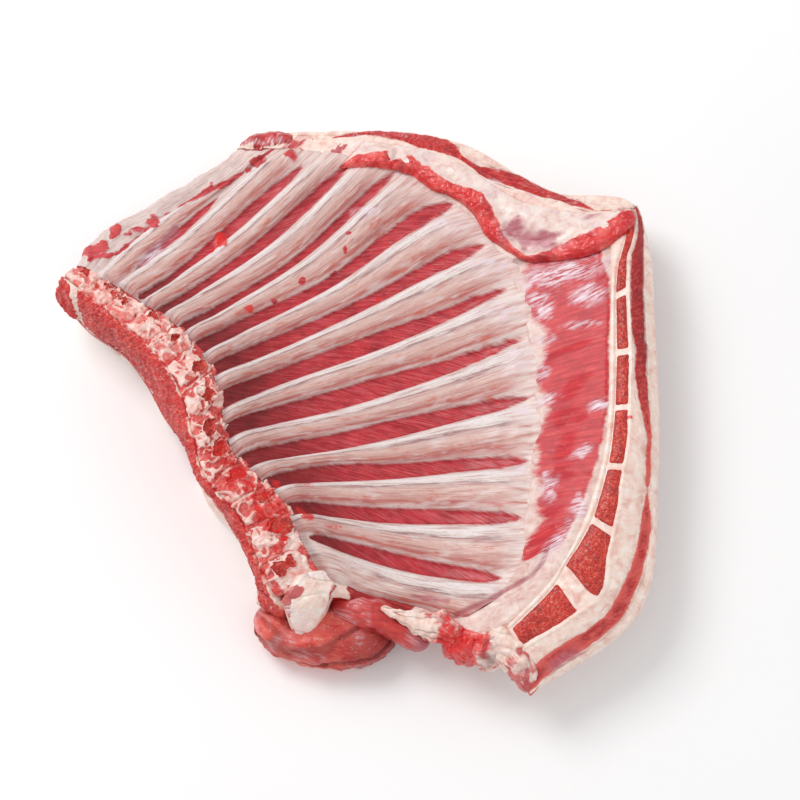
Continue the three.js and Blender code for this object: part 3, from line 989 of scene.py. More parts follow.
CARTILAGE = Tissue(
    "cartilage", "cartilage", pale=("#f2c4b4", "#fce0d2", "#fff4ec"), veins=0.2, wet=0.5, rough=0.33,
)
MARROW = Tissue(
    "spongy_bone", "marrow", pale=("#e8948c", "#f7c8bd", "#fdebe2"), red=("#b01c24", "#dc4844", "#f08a80"),
    fibre=(3.0, 1.4), veins=0.4, relief=0.6, ragged=0.4,
)
RIB_WALL = RibWallTissue(
    "ribs_and_muscle", "rib_bone", pale=("#dfb9af", "#f0d8ce", "#f8e8e0"),
    red=("#8e121f", "#c02a36", "#d84f4f"), fibre=(15.0, 0.8), turn=-24.0, flecks=0.08, ragged=0.4, wet=0.2,
)


class Wardrobe:
    """Makes each finish's material once."""

    def __init__(self) -> None:
        """Starts empty."""
        self.made: dict[str, bpy.types.Material] = {}

    def dress(self, piece: Piece, finish: Tissue, replaces: Sequence[str]) -> Piece:
        """Gives a piece its material and body, and hides the nodes that it stands for.

        Args:
            piece: The new piece.
            finish: Its finish.
            replaces: Nodes that it replaces.

        Returns:
            The piece.
        """
        if finish.name not in self.made:
            self.made[finish.name] = finish.material()
        piece.data.materials.append(self.made[finish.name])
        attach(piece, BODY)
        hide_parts(*replaces)
        LOG.info("%s: %d faces, for %s", piece.name, len(piece.data.polygons), ", ".join(replaces))
        return piece


WARDROBE = Wardrobe()


# ---- sheets


@dataclass
class Sheet:
    """Closed slab over a stretch of the patch, with a fine top, ringed walls and a plainer underside.

    Attributes:
        name: Name of the piece.
        replaces: Nodes that it stands for.
        finish: Its finish.
        inner: First lane, or a function of the row.
        outer: Last lane, or a function of the row.
        grid: Stretches along the rows and across the lanes, both multiples of step.
        tuck: How far each edge dips, in the order of Side.
        rows: First and last row.
        depth: Thickness, negative to end above the patch, or None to reach down to the skin side.
        step: Fine stretches for each one of the underside.
        tuck_width: Width over which the edges dip.
        cut: Mean flesh mark of the walls.
    """

    name: str
    replaces: tuple[str, ...]
    finish: Tissue
    inner: Lane
    outer: Lane
    grid: tuple[int, int]
    tuck: tuple[float, float, float, float]
    rows: tuple[float, float] = (0.0, LAST_ROW)
    depth: Optional[float] = None
    step: int = 2
    tuck_width: float = 3.0
    cut: float = ALL_FAT

    def lanes(self, rows: Array) -> Array:
        """Lanes of the grid: evenly from the inner to the outer one at each row.

        Args:
            rows: Rows of the grid, shape (n,).

        Returns:
            Lanes, shape (n, m).
        """
        inner = self.inner(rows) if callable(self.inner) else np.full(len(rows), float(self.inner))
        outer = self.outer(rows) if callable(self.outer) else np.full(len(rows), float(self.outer))
        share = np.linspace(0.0, 1.0, self.grid[1] + 1)
        return inner[:, None] + share[None, :] * (outer - inner)[:, None]

    def relief(self, ground: Ground) -> Array:
        """Height of the top over the patch: soft lumps by default."""
        return 0.4 * ground.noise(9.0, 3)

    def marks(self, ground: Ground) -> Marks:
        """Point attributes: all fat by default."""
        return {"flesh": np.full(ground.lane.shape, ALL_FAT)}

    def below(self, ground: Ground) -> Array:
        """Flesh mark of the underside: that of the cut walls."""
        return np.full(ground.lane.shape, self.cut)

    def underside(self, ground: Ground) -> Array:
        """Underside: the patch moved down along its normal, or straight down to the skin side.

        Args:
            ground: The patch at the grid.

        Returns:
            Places, shape (n, m, 3).
        """
        if self.depth is None:
            low = ground.point.copy()
            low[..., 2] = np.minimum(ground.floor + SKIN_SIDE, low[..., 2] - THINNEST)
            return low
        low = ground.point - ground.normal * self.depth
        low[..., 2] = np.maximum(low[..., 2], ground.floor + CLEARANCE)
        return low

    def edges(self, ground: Ground) -> dict[Side, Array]:
        """Distance of each grid point from every edge.

        Args:
            ground: The patch at the grid.

        Returns:
            Millimetres from each edge, each of shape (n, m).
        """
        return {
            Side.INNER: ground.along,
            Side.OUTER: ground.along[:, -1:] - ground.along,
            Side.FIRST: (ground.row - self.rows[0]) * ground.pitch,
            Side.LAST: (self.rows[1] - ground.row) * ground.pitch,
        }

    def nearest_edge(self, ground: Ground) -> Array:
        """Distance of each grid point from the nearest edge."""
        return np.minimum.reduce(list(self.edges(ground).values()))

    def tucked(self, ground: Ground) -> Array:
        """Dip of the top towards its edges: a quarter parabola over the tuck width.

        Args:
            ground: The patch at the grid.

        Returns:
            Millimetres to lower the top by, shape (n, m).
        """
        total = np.zeros(ground.lane.shape)
        for away, dip in zip(self.edges(ground).values(), self.tuck):
            near = np.clip(1.0 - away / self.tuck_width, 0.0, 1.0)
            total += dip * near**2
        return total

    def surface(self, ground: Ground) -> Array:
        """Top: the patch moved up along its normals by the relief, less the dip at the edges."""
        return ground.point + ground.normal * (self.relief(ground) - self.tucked(ground))[..., None]

    def walls(self, top: Array, low: Array) -> tuple[Array, Array, Array]:
        """Rings between the edge of the top and the edge of the underside.

        Args:
            top: Places around the top's edge, shape (m, 3).
            low: Places around the underside's edge, below them.

        Returns:
            Places of shape (rings, m, 3), their grain, and their flesh marks.
        """
        share = np.array(WALL_SHARES)[:, None, None]
        ring = top + (low - top) * share
        tangent = np.roll(top, -1, axis=0) - np.roll(top, 1, axis=0)
        outward = np.stack([tangent[:, 1], -tangent[:, 0], 0 * tangent[:, 0]], axis=1)
        outward /= np.maximum(np.linalg.norm(outward, axis=1, keepdims=True), 1e-6)
        swell = np.sin(math.pi * share[..., 0]) * (0.4 + 0.9 * fractal(ring, 8.0, 131))
        ring = ring + outward * swell[..., None]
        length = np.cumsum(np.linalg.norm(tangent, axis=1)) / 2
        drop = np.linalg.norm(top - low, axis=1) * share[..., 0]
        grain = np.stack(np.broadcast_arrays(length, drop), axis=-1) / CENTIMETRE
        uneven = 0.0 if self.cut == ALL_FAT else 5.0
        flesh = self.cut + uneven * fractal(ring, 11.0, 132)
        return ring, grain, flesh

    def build(self) -> Piece:
        """Builds the piece: top grid, ringed walls and coarse underside.

        Returns:
            The finished piece.
        """
        rows = np.linspace(*self.rows, self.grid[0] + 1)
        ground = PATCH.ground(self.lanes(rows), rows)
        top = self.surface(ground)
        under = self.underside(ground)
        coarse = (slice(None, None, self.step), slice(None, None, self.step))
        grain = drawn_out(ground, CENTIMETRE, CENTIMETRE)[..., :2]
        rings, ring_grain, ring_flesh = self.walls(rim_of(top), rim_of(under))
        low = under[coarse]
        upper = numbered(top)
        ring = numbered(rings, upper.size)
        lower = numbered(low, upper.size + ring.size)
        loops = closed(np.concatenate([rim_of(upper)[None], ring]))
        faces = [grid_quads(upper), grid_quads(lower)[:, ::-1], grid_quads(loops)[:, ::-1]]
        faces.append(wall_triangles(loops[-1], closed(rim_of(lower)[None])[0], self.step))
        marks = {}
        for key, values in self.marks(ground).items():
            edge = np.broadcast_to(rim_of(values), ring.shape) * (1 - np.array(WALL_SHARES)[:, None])
            middle = ring_flesh if key == "flesh" else edge
            bottom = self.below(ground)[coarse] if key == "flesh" else 0 * values[coarse]
            marks[key] = np.concatenate([values.ravel(), middle.ravel(), bottom.ravel()])
        grains = np.concatenate([part.reshape(-1, 2) for part in (grain, ring_grain, grain[coarse])])
        vertices = np.concatenate([part.reshape(-1, 3) for part in (top, rings, low)])
        piece = make_object(self.name, vertices, faces, grains, marks)
        return WARDROBE.dress(piece, self.finish, self.replaces)


# ---- ribs and muscle between them


@dataclass(frozen=True)
class MuscleBand:
    """Muscle that shows between a rib and the next one.

    Attributes:
        rib: Rib on its neck side.
        start: Lane at which it starts.
        end: Lane at which it ends.
        lower: Its neck-side edge, in rows above the rib, at the band lanes.
        upper: Its loin-side edge likewise.
        pale: How far, in millimetres, it lies under pale skin.
    """

    rib: int
    start: float
    end: float
    lower: tuple[float, ...]
    upper: tuple[float, ...]
    pale: float = 0.0


BAND_LANES = (0.1, 0.5, 1.0, 1.5, 1.85)
BANDS = (
    MuscleBand(1, 0.0, 1.83, (0.58, 0.45, 0.42, 0.4, 0.36), (0.84, 0.82, 0.72, 0.64, 0.52)),
    MuscleBand(2, -0.2, 1.94, (0.38, 0.33, 0.38, 0.39, 0.36), (0.74, 0.64, 0.67, 0.62, 0.54)),
    MuscleBand(3, -0.2, 1.95, (0.24, 0.22, 0.3, 0.33, 0.3), (0.66, 0.76, 0.64, 0.58, 0.48)),
    MuscleBand(4, -0.2, 1.94, (0.12, 0.08, 0.26, 0.32, 0.32), (0.6, 0.52, 0.7, 0.59, 0.5)),
    MuscleBand(5, -0.2, 1.95, (0.2, 0.1, 0.26, 0.28, 0.38), (0.72, 0.64, 0.7, 0.54, 0.54)),
    MuscleBand(6, -0.2, 1.93, (0.18, 0.26, 0.27, 0.28, 0.36), (0.72, 0.72, 0.72, 0.52, 0.5)),
    MuscleBand(7, -0.2, 1.94, (0.24, 0.24, 0.32, 0.25, 0.2), (0.68, 0.68, 0.63, 0.5, 0.48)),
    MuscleBand(8, -0.2, 1.98, (0.13, 0.21, 0.24, 0.15, 0.08), (0.58, 0.63, 0.5, 0.44, 0.42)),
    MuscleBand(9, -0.2, 1.97, (0.07, 0.23, 0.3, 0.32, 0.3), (0.36, 0.48, 0.52, 0.6, 0.58)),
    MuscleBand(10, -0.2, 1.97, (0.02, 0.24, 0.38, 0.38, 0.38), (0.32, 0.5, 0.74, 0.8, 0.62)),
    MuscleBand(11, -0.1, 1.84, (-0.12, 0.12, 0.34, 0.44, 0.34), (0.14, 0.3, 0.63, 0.78, 0.62)),
    MuscleBand(12, 0.15, 1.42, (-0.1, 0.0, 0.22, 0.5, 0.6), (-0.04, 0.24, 0.52, 0.66, 0.7), 1.0),
)
FIRST_RIB_EDGE = 0.45  # row at which the skin of rib 1 starts
NECK_CREASE = ((1.6, 0.5), (1.8, 0.9), (1.97, 1.18), (2.2, 1.25), (2.41, 1.25), (2.52, 1.45), (2.5, 1.7))
# Row at each lane where the last rib ends in fat.
loin_edge = table(
    (-0.1, 0.3, 0.7, 1.0, 1.25, 1.45, 1.65, 2.0), (12.7, 12.75, 12.88, 12.99, 12.95, 12.8, 12.68, 12.58)
)
LOIN_LUMPS = (
    Spot(0.18, 13.3, 11, 7, 40), Spot(0.14, 12.98, 12, 3, 25, 0.9), Spot(0.5, 13.3, 4, 7, -10),
    Spot(0.62, 13.0, 9, 3, 30, 0.8), Spot(0.84, 12.98, 6, 7, 0, 0.75), Spot(1.84, 12.62, 10, 5, 35),
    Spot(1.93, 11.95, 6, 8, 0, 0.8), Spot(1.4, 12.9, 9, 3, 35, 0.8),
)


def softened(lane: Array, values: Sequence[float]) -> Array:
    """Straight interpolation over the band lanes, averaged over 0.3 lanes to round its corners."""
    return sum(np.interp(lane + shift, BAND_LANES, values) for shift in (-0.15, -0.05, 0.05, 0.15)) / 4.0


def crease_depth(ground: Ground) -> Array:
    """Crease between rib 1 and the breast: 1 along its middle, 0 beside it."""
    return smooth(stroked(ground, (Stroke(NECK_CREASE, 2.2),)), 0.0, 2.2)


def mauve_skin_and_crease_shade(ground: Ground, *strokes: Stroke) -> Array:
    """Share of mauve: along that crease, partly painted shade in it, and mauve skin along other strokes, with
    a ragged edge.
    """
    folds = 1.5 * ground.noise(6.0, 14)
    return 0.75 * smooth(folds + stroked(ground, (Stroke(NECK_CREASE, 1.4), *strokes)), -1.0, 1.6)


@dataclass
class RibWall(Sheet):
    """Thirteen ribs under their skin, with the muscle between them."""

    crest: float = 3.8  # height of a rib
    sink: float = 1.6  # depth of the muscle

    def band_edges(self, ground: Ground) -> tuple[Array, Array, Array]:
        """Edges of the bands and the distance into them.

        The half width of a band closes by a square root of the distance from its two ends.

        Returns:
            Lower edges and upper edges in rows, shape (bands, n, m), and the largest distance in
            millimetres into a band.
        """
        lows, highs = [], []
        inside = np.full(ground.lane.shape, FAR)
        for band in BANDS:
            low = band.rib + softened(ground.lane, band.lower)
            high = band.rib + softened(ground.lane, band.upper)
            before, after = ground.lane - band.start, band.end - ground.lane
            ends = np.clip(after / 0.2, 0, 1) * np.clip(before / 0.1, 0, 1)
            middle, half = (low + high) / 2, (high - low) / 2 * np.sqrt(ends)
            depth = (half - np.abs(ground.row - middle)) * ground.pitch
            beyond = np.minimum(after, before) * ground.stretch
            inside = np.maximum(inside, np.minimum(depth, beyond + 0.5) - band.pale)
            lows.append(low)
            highs.append(high)
        return np.array(lows), np.array(highs), inside

    def across(self, ground: Ground, lows: Array, highs: Array) -> Array:
        """Place across the nearest rib, from -1 at its neck side to 1 at its loin side."""
        last = loin_edge(ground.lane)
        starts = np.concatenate([np.full((1, *last.shape), FIRST_RIB_EDGE), highs])
        stops = np.concatenate([lows, last[None]])
        middle, half = (starts + stops) / 2, (stops - starts) / 2
        offset = (ground.row[None] - middle) / half
        nearest = np.argmin(np.abs(offset), axis=0)
        return np.take_along_axis(offset, nearest[None], axis=0)[0]

    def surface(self, ground: Ground) -> Array:
        """Top: the sheet's own, with ragged lumps that bulge over the loin edge.

        A bulge moves places along the rows, by up to 6 mm at the edge.
        """
        top = super().surface(ground)
        window = smooth(ground.lane, 0.0, 0.15) * smooth(ground.lane, 0.95, 0.6)
        push = window * (2.6 + 3.0 * ground.noise(12.0, 15)) + 1.4 * ground.noise(7.0, 16)
        push = np.maximum(push, -1.0) * smooth(ground.row, 12.8, LAST_ROW)
        ahead = np.gradient(ground.point, axis=0)
        ahead /= np.linalg.norm(ahead, axis=-1, keepdims=True)
        return top + ahead * push[..., None]

    def relief(self, ground: Ground) -> Array:
        """Ribs: a flat oval (1 - p^2)^0.6 of the place p across, creased; muscle: sunk, with fibres."""
        lows, highs, inside = self.band_edges(ground)
        place = np.clip(self.across(ground, lows, highs), -1.3, 1.3)
        fade = (1.0 - 0.8 * smooth(ground.lane, 1.7, 2.0)) * (1.0 - 0.4 * smooth(ground.row, 12.2, 12.9))
        fade = fade * smooth(ground.lane, -0.14, 0.03)
        oval = np.clip(1.0 - place**2, 0.0, 1.0) ** 0.6
        wander = ground.noise(30.0, 5)
        crease = bell(place - 0.36 + 0.12 * wander, 0.07) + 0.7 * bell(place + 0.5 + 0.2 * wander, 0.08)
        bulb = bell(ground.lane - 1.88, 0.07) * bell(place, 0.6)
        muscle = smooth(inside, -0.6, 1.6)
        slant = drawn_out(ground, 16.0, 1.5)
        slant = slant + np.stack([ground.row * 1.4, ground.along * 0.3, 0 * ground.row], axis=-1)
        streak = drawn_out(ground, 24.0, 2.2)
        rise = self.crest * fade * oval * (1 - 0.6 * muscle) - 0.6 * crease * fade + 1.3 * bulb
        rise += (0.32 * value_noise(streak, 7) + 0.2 * value_noise(streak * 2.1, 8)) * (1 - muscle)
        rise += (0.3 * value_noise(slant, 9) + 0.15 * value_noise(slant * 2.3, 10)) * muscle
        rise += spotted(ground, (Spot(1.5, 8.76, 13, 7, 40, 2.2), Spot(1.03, 11.41, 6, 4, 60, 1.6)))
        loin = smooth(ground.row - loin_edge(ground.lane), -0.05, 0.15)
        rise += loin * (1.2 + 1.6 * ground.noise(9.0, 12)) + 2.4 * spotted(ground, LOIN_LUMPS)
        rise -= 1.8 * crease_depth(ground)
        return rise - self.sink * muscle + 0.35 * ground.noise(14.0, 11)

    def marks(self, ground: Ground) -> Marks:
        """Marks of the bands, the ribs, their tips, the blood and dark spots on them, painted shade beside
        the spine and painted sheen at the tips.
        """
        lows, highs, inside = self.band_edges(ground)
        place = self.across(ground, lows, highs)
        beyond = (ground.row - loin_edge(ground.lane)) * ground.pitch
        seam = 1.6 - np.abs(beyond) + 2.6 * ground.noise(9.0, 13) - 5 * smooth(ground.lane, 0.3, 0.1)
        lumps = 5.0 * spotted(ground, LOIN_LUMPS) - 2.8 + 1.8 * ground.noise(4.0, 15)
        spots = 4.0 * spotted(ground, (
            Spot(0.69, 8.64, 3, 1.8, 20), Spot(0.94, 8.72, 2.2, 3.5), Spot(1.14, 8.4, 8, 3.4, 20, 0.8),
            Spot(1.3, 8.72, 1.6, 4), Spot(1.42, 9.0, 2.4, 1.6),
        )) - 2.0
        blood = spotted(ground, (
            Spot(1.03, 11.41, 6, 4, 80), Spot(0.95, 11.3, 9, 3, 40, 0.8), Spot(0.48, 8.74, 5, 3, 20, 0.8),
            Spot(1.22, 7.4, 2.4, 1.6, 0, 0.9), Spot(1.5, 8.27, 2, 1.6, 0, 0.8), Spot(0.22, 3.1, 7, 3, 0, 0.5),
            Spot(0.06, 2.3, 9, 4, -50, 0.8), Spot(0.3, 2.05, 8, 2.5, 0, 0.5), Spot(0.02, 3.4, 7, 3, -50, 0.6),
        ))
        loin_skin = Stroke(((0.3, 12.0), (0.5, 12.2), (0.9, 12.45)), 3.0)
        neck_skin = Stroke(((0.9, 0.84), (1.35, 0.86)), 1.8)
        near_tips = smooth(ground.lane, 1.2, 1.9)
        on_ribs = smooth(ground.row, 12.7, 12.2)
        inside = np.where(inside < 6.0, inside * (1.0 - 0.6 * near_tips), inside)
        # Painted highlights: a sheen along the rib tips, and spots of silvery skin with painted sheen on it.
        sheen = bell(ground.lane - 1.88, 0.1) * bell(place - 0.1, 0.45) * smooth(ground.row, 3.6, 5.0)
        sheen *= smooth(ground.row, 9.0, 8.4)
        silverskin_sheen = spotted(ground, (
            Spot(0.5, 12.1, 12, 4, 48), Spot(0.9, 11.1, 12, 3, 40, 0.6), Spot(1.62, 9.1, 13, 4),
            Spot(1.84, 7.95, 10, 4), Spot(1.9, 6.95, 10, 5), Spot(1.93, 5.2, 9, 5), Spot(1.93, 4.2, 8, 4),
            Spot(1.88, 3.24, 8, 4, 0, 0.9),
        ))
        white = spotted(ground, (
            Spot(0.1, 1.4, 16, 6, -30), Spot(0.2, 0.95, 16, 7), Spot(0.55, 0.72, 20, 4, 0, 0.9),
            Spot(0.12, 0.6, 10, 5),
        ))
        return {
            "flesh": np.maximum.reduce([inside, np.where(beyond > ALL_FAT, seam, ALL_FAT), lumps, spots]),
            "light": smooth(lumps, -0.5, 1.5) * smooth(ground.noise(4.0, 17), -0.4, 0.4),
            "across": place,
            "tip": np.maximum(smooth(ground.lane, 1.72, 1.95) * 0.8, 0.9 * white),
            "frayed": 0.26 * near_tips * (1 - 0.6 * smooth(ground.row, 8.6, 9.6)),
            # Painted shade near the spine, partly the muscle's own darker colour.
            "spine_shade_and_tone": smooth(ground.lane, 0.8, 0.05) * 0.68 * on_ribs,
            # Painted shade: darker where the wall runs in under the vertebrae.
            "shade": smooth(ground.lane, 0.04, -0.1) * 0.4 * on_ribs,
            "lilac": mauve_skin_and_crease_shade(ground, loin_skin, neck_skin),
            "blood": blood,
            "sheen": np.maximum(0.8 * sheen, silverskin_sheen),
        }


# ---- inside of the breast


# Lanes over the rows between which the lining is red; its inner edge is scalloped.
lining_in = table(
    (1.99, 2.32, 2.63, 2.87, 3.3, 3.71, 4.14, 4.76, 4.95, 5.2, 5.45, 5.65, 6.1, 6.4, 6.78),
    (2.04, 2.29, 2.12, 2.22, 2.05, 2.03, 2.16, 2.0, 2.14, 2.18, 2.2, 2.1, 2.0, 2.12, 2.16),
)
lining_out = table((1.6, 2.15, 2.96, 3.54, 4.09, 6.0, 6.45), (2.74, 2.83, 2.88, 2.92, 2.97, 2.96, 2.9))


@dataclass
class BreastLining(Sheet):
    """Thin muscle over the inner side of the breastbone, with silvery skin on it."""

    def relief(self, ground: Ground) -> Array:
        """Soft swellings with fine ripples, and a fold between rib 1 and the breastbone."""
        ripple = value_noise(drawn_out(ground, 22.0, 3.0), 22)
        return 0.8 + 0.9 * ground.noise(26.0, 21, 2) + 0.25 * ripple - 1.8 * crease_depth(ground)

    def marks(self, ground: Ground) -> Marks:
        """Flesh between a scalloped inner edge and the breastbone, patches of silver skin with painted sheen,
        and a painted shadow under the diaphragm's edge.
        """
        inner, outer = lining_in(ground.row), lining_out(ground.row)
        inside = np.minimum((ground.lane - inner) * 0.22, (outer - ground.lane) * 0.6) * ground.stretch
        inside = np.minimum(inside, (ground.row - 1.68) * ground.pitch)
        inside += 0.5 * ground.noise(8.0, 23)
        sheen = spotted(ground, (
            Spot(2.5, 6.5, 34, 9, 4), Spot(2.22, 5.8, 9, 5, 60), Spot(2.74, 5.85, 12, 8, 0, 0.95),
            Spot(2.15, 6.05, 10, 5, 0, 0.9), Spot(2.12, 5.3, 8, 4, 0, 0.8), Spot(2.12, 4.3, 9, 4, 0, 0.8),
            Spot(2.86, 4.04, 8, 4, 10), Spot(2.67, 3.4, 8, 4, 35, 0.9), Spot(2.3, 2.95, 9, 6, 70, 0.9),
            Spot(2.85, 2.4, 7, 8, 40, 0.8), Spot(2.6, 1.75, 16, 5, 55, 0.9), Spot(2.1, 4.75, 6, 5, 30, 0.9),
            Spot(2.6, 5.35, 14, 3, -6, 0.7),
        ))
        return {
            "flesh": inside,
            "sheen": sheen,
            # Painted shadow of the diaphragm's edge, which lies over the top of the lining.
            "shade": 0.6 * smooth(ground.row, 6.72, 6.9),
            "lilac": np.maximum(mauve_skin_and_crease_shade(ground), 0.45 * sheen),
            "frayed": 0.3 * smooth(inside, 6.0, 0.0),
        }


# Rows and lanes of the red stripe of the outer breast and flank muscle.
STRIPE = (
    (0.0, 4.5, 4.95), (0.24, 4.38, 4.79), (0.6, 4.37, 4.74), (0.9, 4.42, 4.75), (1.39, 4.44, 4.72),
    (1.85, 4.52, 4.78), (2.27, 4.59, 4.85), (2.67, 4.62, 4.76), (2.78, 4.68, 4.7), (3.0, 4.6, 4.75),
    (3.35, 4.54, 4.7), (3.54, 4.56, 4.73), (3.9, 4.32, 4.62), (4.37, 4.1, 4.5), (4.71, 4.12, 4.53),
    (5.04, 3.97, 4.45), (5.5, 3.82, 4.38), (5.88, 3.83, 4.44), (6.2, 3.97, 4.6), (6.63, 4.5, 4.9),
    (6.91, 4.83, 4.97), (7.0, 4.6, 4.6), (7.4, 3.83, 3.83), (7.48, 3.84, 4.02), (7.67, 3.98, 4.4),
    (7.9, 4.25, 4.8), (8.16, 3.98, 4.88), (8.34, 3.74, 4.88), (8.45, 3.58, 4.6), (8.53, 3.52, 4.2),
    (8.6, 3.6, 3.86), (8.8, 3.64, 3.92), (8.96, 3.62, 4.5), (9.13, 3.57, 4.8), (9.49, 3.6, 4.88),
    (9.79, 3.85, 4.9), (10.18, 4.14, 4.9), (10.66, 4.3, 4.88), (11.0, 3.9, 4.4), (11.34, 3.6, 3.8),
)
STRIPE_END = 11.3
stripe_in, stripe_out = edge_pair(STRIPE)
# Rows, and inner and outer lanes, of the split breastbone.
BONE_EDGES = (
    (0.04, 3.17, 3.85), (0.9, 3.14, 3.96), (1.2, 3.06, 4.1), (1.4, 3.06, 4.12), (1.9, 3.14, 3.96),
    (2.2, 3.2, 3.95), (2.6, 3.2, 4.0), (3.15, 3.2, 3.92), (3.6, 3.19, 3.98), (3.95, 3.2, 3.92),
    (4.3, 3.2, 3.88), (4.7, 3.22, 3.9), (5.1, 3.18, 3.74), (5.55, 3.12, 3.64), (5.75, 3.12, 3.64),
    (6.2, 3.3, 3.72), (6.6, 3.6, 4.1), (6.9, 3.85, 4.45),
)
BONE_ROWS = ((0.06, 0.93), (1.24, 2.17), (2.27, 3.14), (3.21, 3.94), (4.0, 4.69), (4.76, 5.57), (5.66, 6.88))
bone_in, bone_out = edge_pair(BONE_EDGES)


@dataclass
class OuterMuscle(Sheet):
    """Outer breast and flank muscle, which shows as a red stripe in the fat along the cut."""

    def relief(self, ground: Ground) -> Array:
        """Cut face: small grains."""
        return 0.5 * ground.noise(3.0, 31) + 0.4 + 0.5 * ground.noise(9.0, 33)

    def marks(self, ground: Ground) -> Marks:
        """Flesh between the two edges of the stripe."""
        inside = np.minimum(ground.lane - stripe_in(ground.row), stripe_out(ground.row) - ground.lane)
        inside = np.minimum(inside * ground.stretch, (STRIPE_END - ground.row) * ground.pitch)
        inside += 0.9 * ground.noise(5.0, 32)
        dark = smooth(ground.row, 4.0, 4.8) * smooth(ground.row, 7.3, 6.4)
        bright = smooth(ground.row, 7.3, 7.8)
        rind = 0.9 * smooth(ground.row, 4.2, 3.4) * smooth(inside, 3.5, 0.5)
        grains = 0.75 * smooth(ground.row, 4.4, 3.4) * smooth(ground.noise(5.0, 35), -0.4, 0.4)
        return {
            "flesh": inside,
            "shade": 0.35 * dark,
            "lilac": 0.7 * spotted(ground, (Spot(4.75, 0.32, 15, 5, 32),)),
            "light": np.clip(rind + grains, 0, 1),
            "blood": 0.3 * bright,
            "frayed": 0.12 * smooth(inside, 4.0, 0.0),
            "sheen": 0.5 * bright * smooth(ground.noise(6.0, 34), 0.2, 0.6),
        }


@dataclass
class BrisketFat(Sheet):
    """Fat between and beside the breastbones."""

    def relief(self, ground: Ground) -> Array:
        """Soft lumps, with a low ridge beside the bones."""
        ridge = bell((ground.lane - bone_out(ground.row)) * ground.stretch - 1.6, 1.5)
        lumps = 0.7 * ground.noise(12.0, 42) + 0.3 * ground.noise(3.0, 43)
        return 0.5 + lumps + 0.8 * ridge

    def marks(self, ground: Ground) -> Marks:
        """All fat, with a small red dot and thin seams."""
        thin = 1.2 * ground.noise(9.0, 41) - 2.6
        return {"flesh": thin, "blood": spotted(ground, (Spot(3.97, 3.82, 2.2, 1.6, 0, 0.9),))}


# Inner lane of the flank's skin over the rows: wavy at the loin end.
flank_in = table(
    (10.4, 11.0, 11.3, 11.6, 11.9, 12.2, 12.5, 12.9, 13.2, 13.5),
    (1.99, 2.07, 1.98, 2.06, 1.99, 2.08, 2.0, 2.07, 1.98, 2.06),
)


@dataclass
class FlankSkin(Sheet):
    """Inner side of the flank: cream fat under thin skin, with purple muscle showing through."""

    def relief(self, ground: Ground) -> Array:
        """Long soft folds along the flank."""
        fold = drawn_out(ground, 7.0, 40.0)
        return 0.8 + 1.1 * value_noise(fold, 51) + 0.7 * ground.noise(10.0, 52)

    def marks(self, ground: Ground) -> Marks:
        """Muscle patches near the loin end."""
        patch = spotted(ground, (
            Spot(2.3, 11.0, 12, 4, 40), Spot(2.2, 12.2, 16, 4, 25, 0.8), Spot(3.1, 12.3, 12, 3, 25, 0.7),
        ))
        inside = 5.0 * patch - 3.2 + 1.5 * ground.noise(8.0, 53)
        return {"flesh": inside, "sheen": 0.4 * smooth(ground.noise(20.0, 54), 0.2, 0.6)}


# Rows of the cut edge of the diaphragm, its lane there, and the lane where its red part ends.
MIDRIFF = (
    (6.8, 2.25, 2.32), (6.91, 2.13, 2.2), (7.12, 2.05, 2.14), (7.34, 1.99, 2.13), (7.52, 1.98, 2.2),
    (7.67, 2.0, 2.32), (7.86, 2.08, 2.46), (8.0, 2.13, 2.62), (8.22, 2.12, 2.8), (8.45, 1.99, 2.62),
    (8.6, 1.96, 2.4), (8.84, 1.97, 2.46), (9.0, 1.99, 2.5), (9.17, 1.98, 2.6), (9.44, 1.97, 2.7),
    (9.6, 1.96, 2.3), (9.66, 1.96, 2.0), (9.74, 1.95, 2.4), (9.86, 1.95, 2.7), (10.07, 1.92, 2.6),
    (10.31, 1.9, 2.1), (10.6, 1.88, 1.9),
)
midriff_edge, midriff_red = edge_pair(MIDRIFF)
# Row at each lane where the fold towards the corner of the flank turns from red to skin.
midriff_fold = table((2.1, 2.3, 2.5, 2.8, 4.1, 4.4), (6.84, 6.9, 7.04, 7.15, 7.12, 7.06))


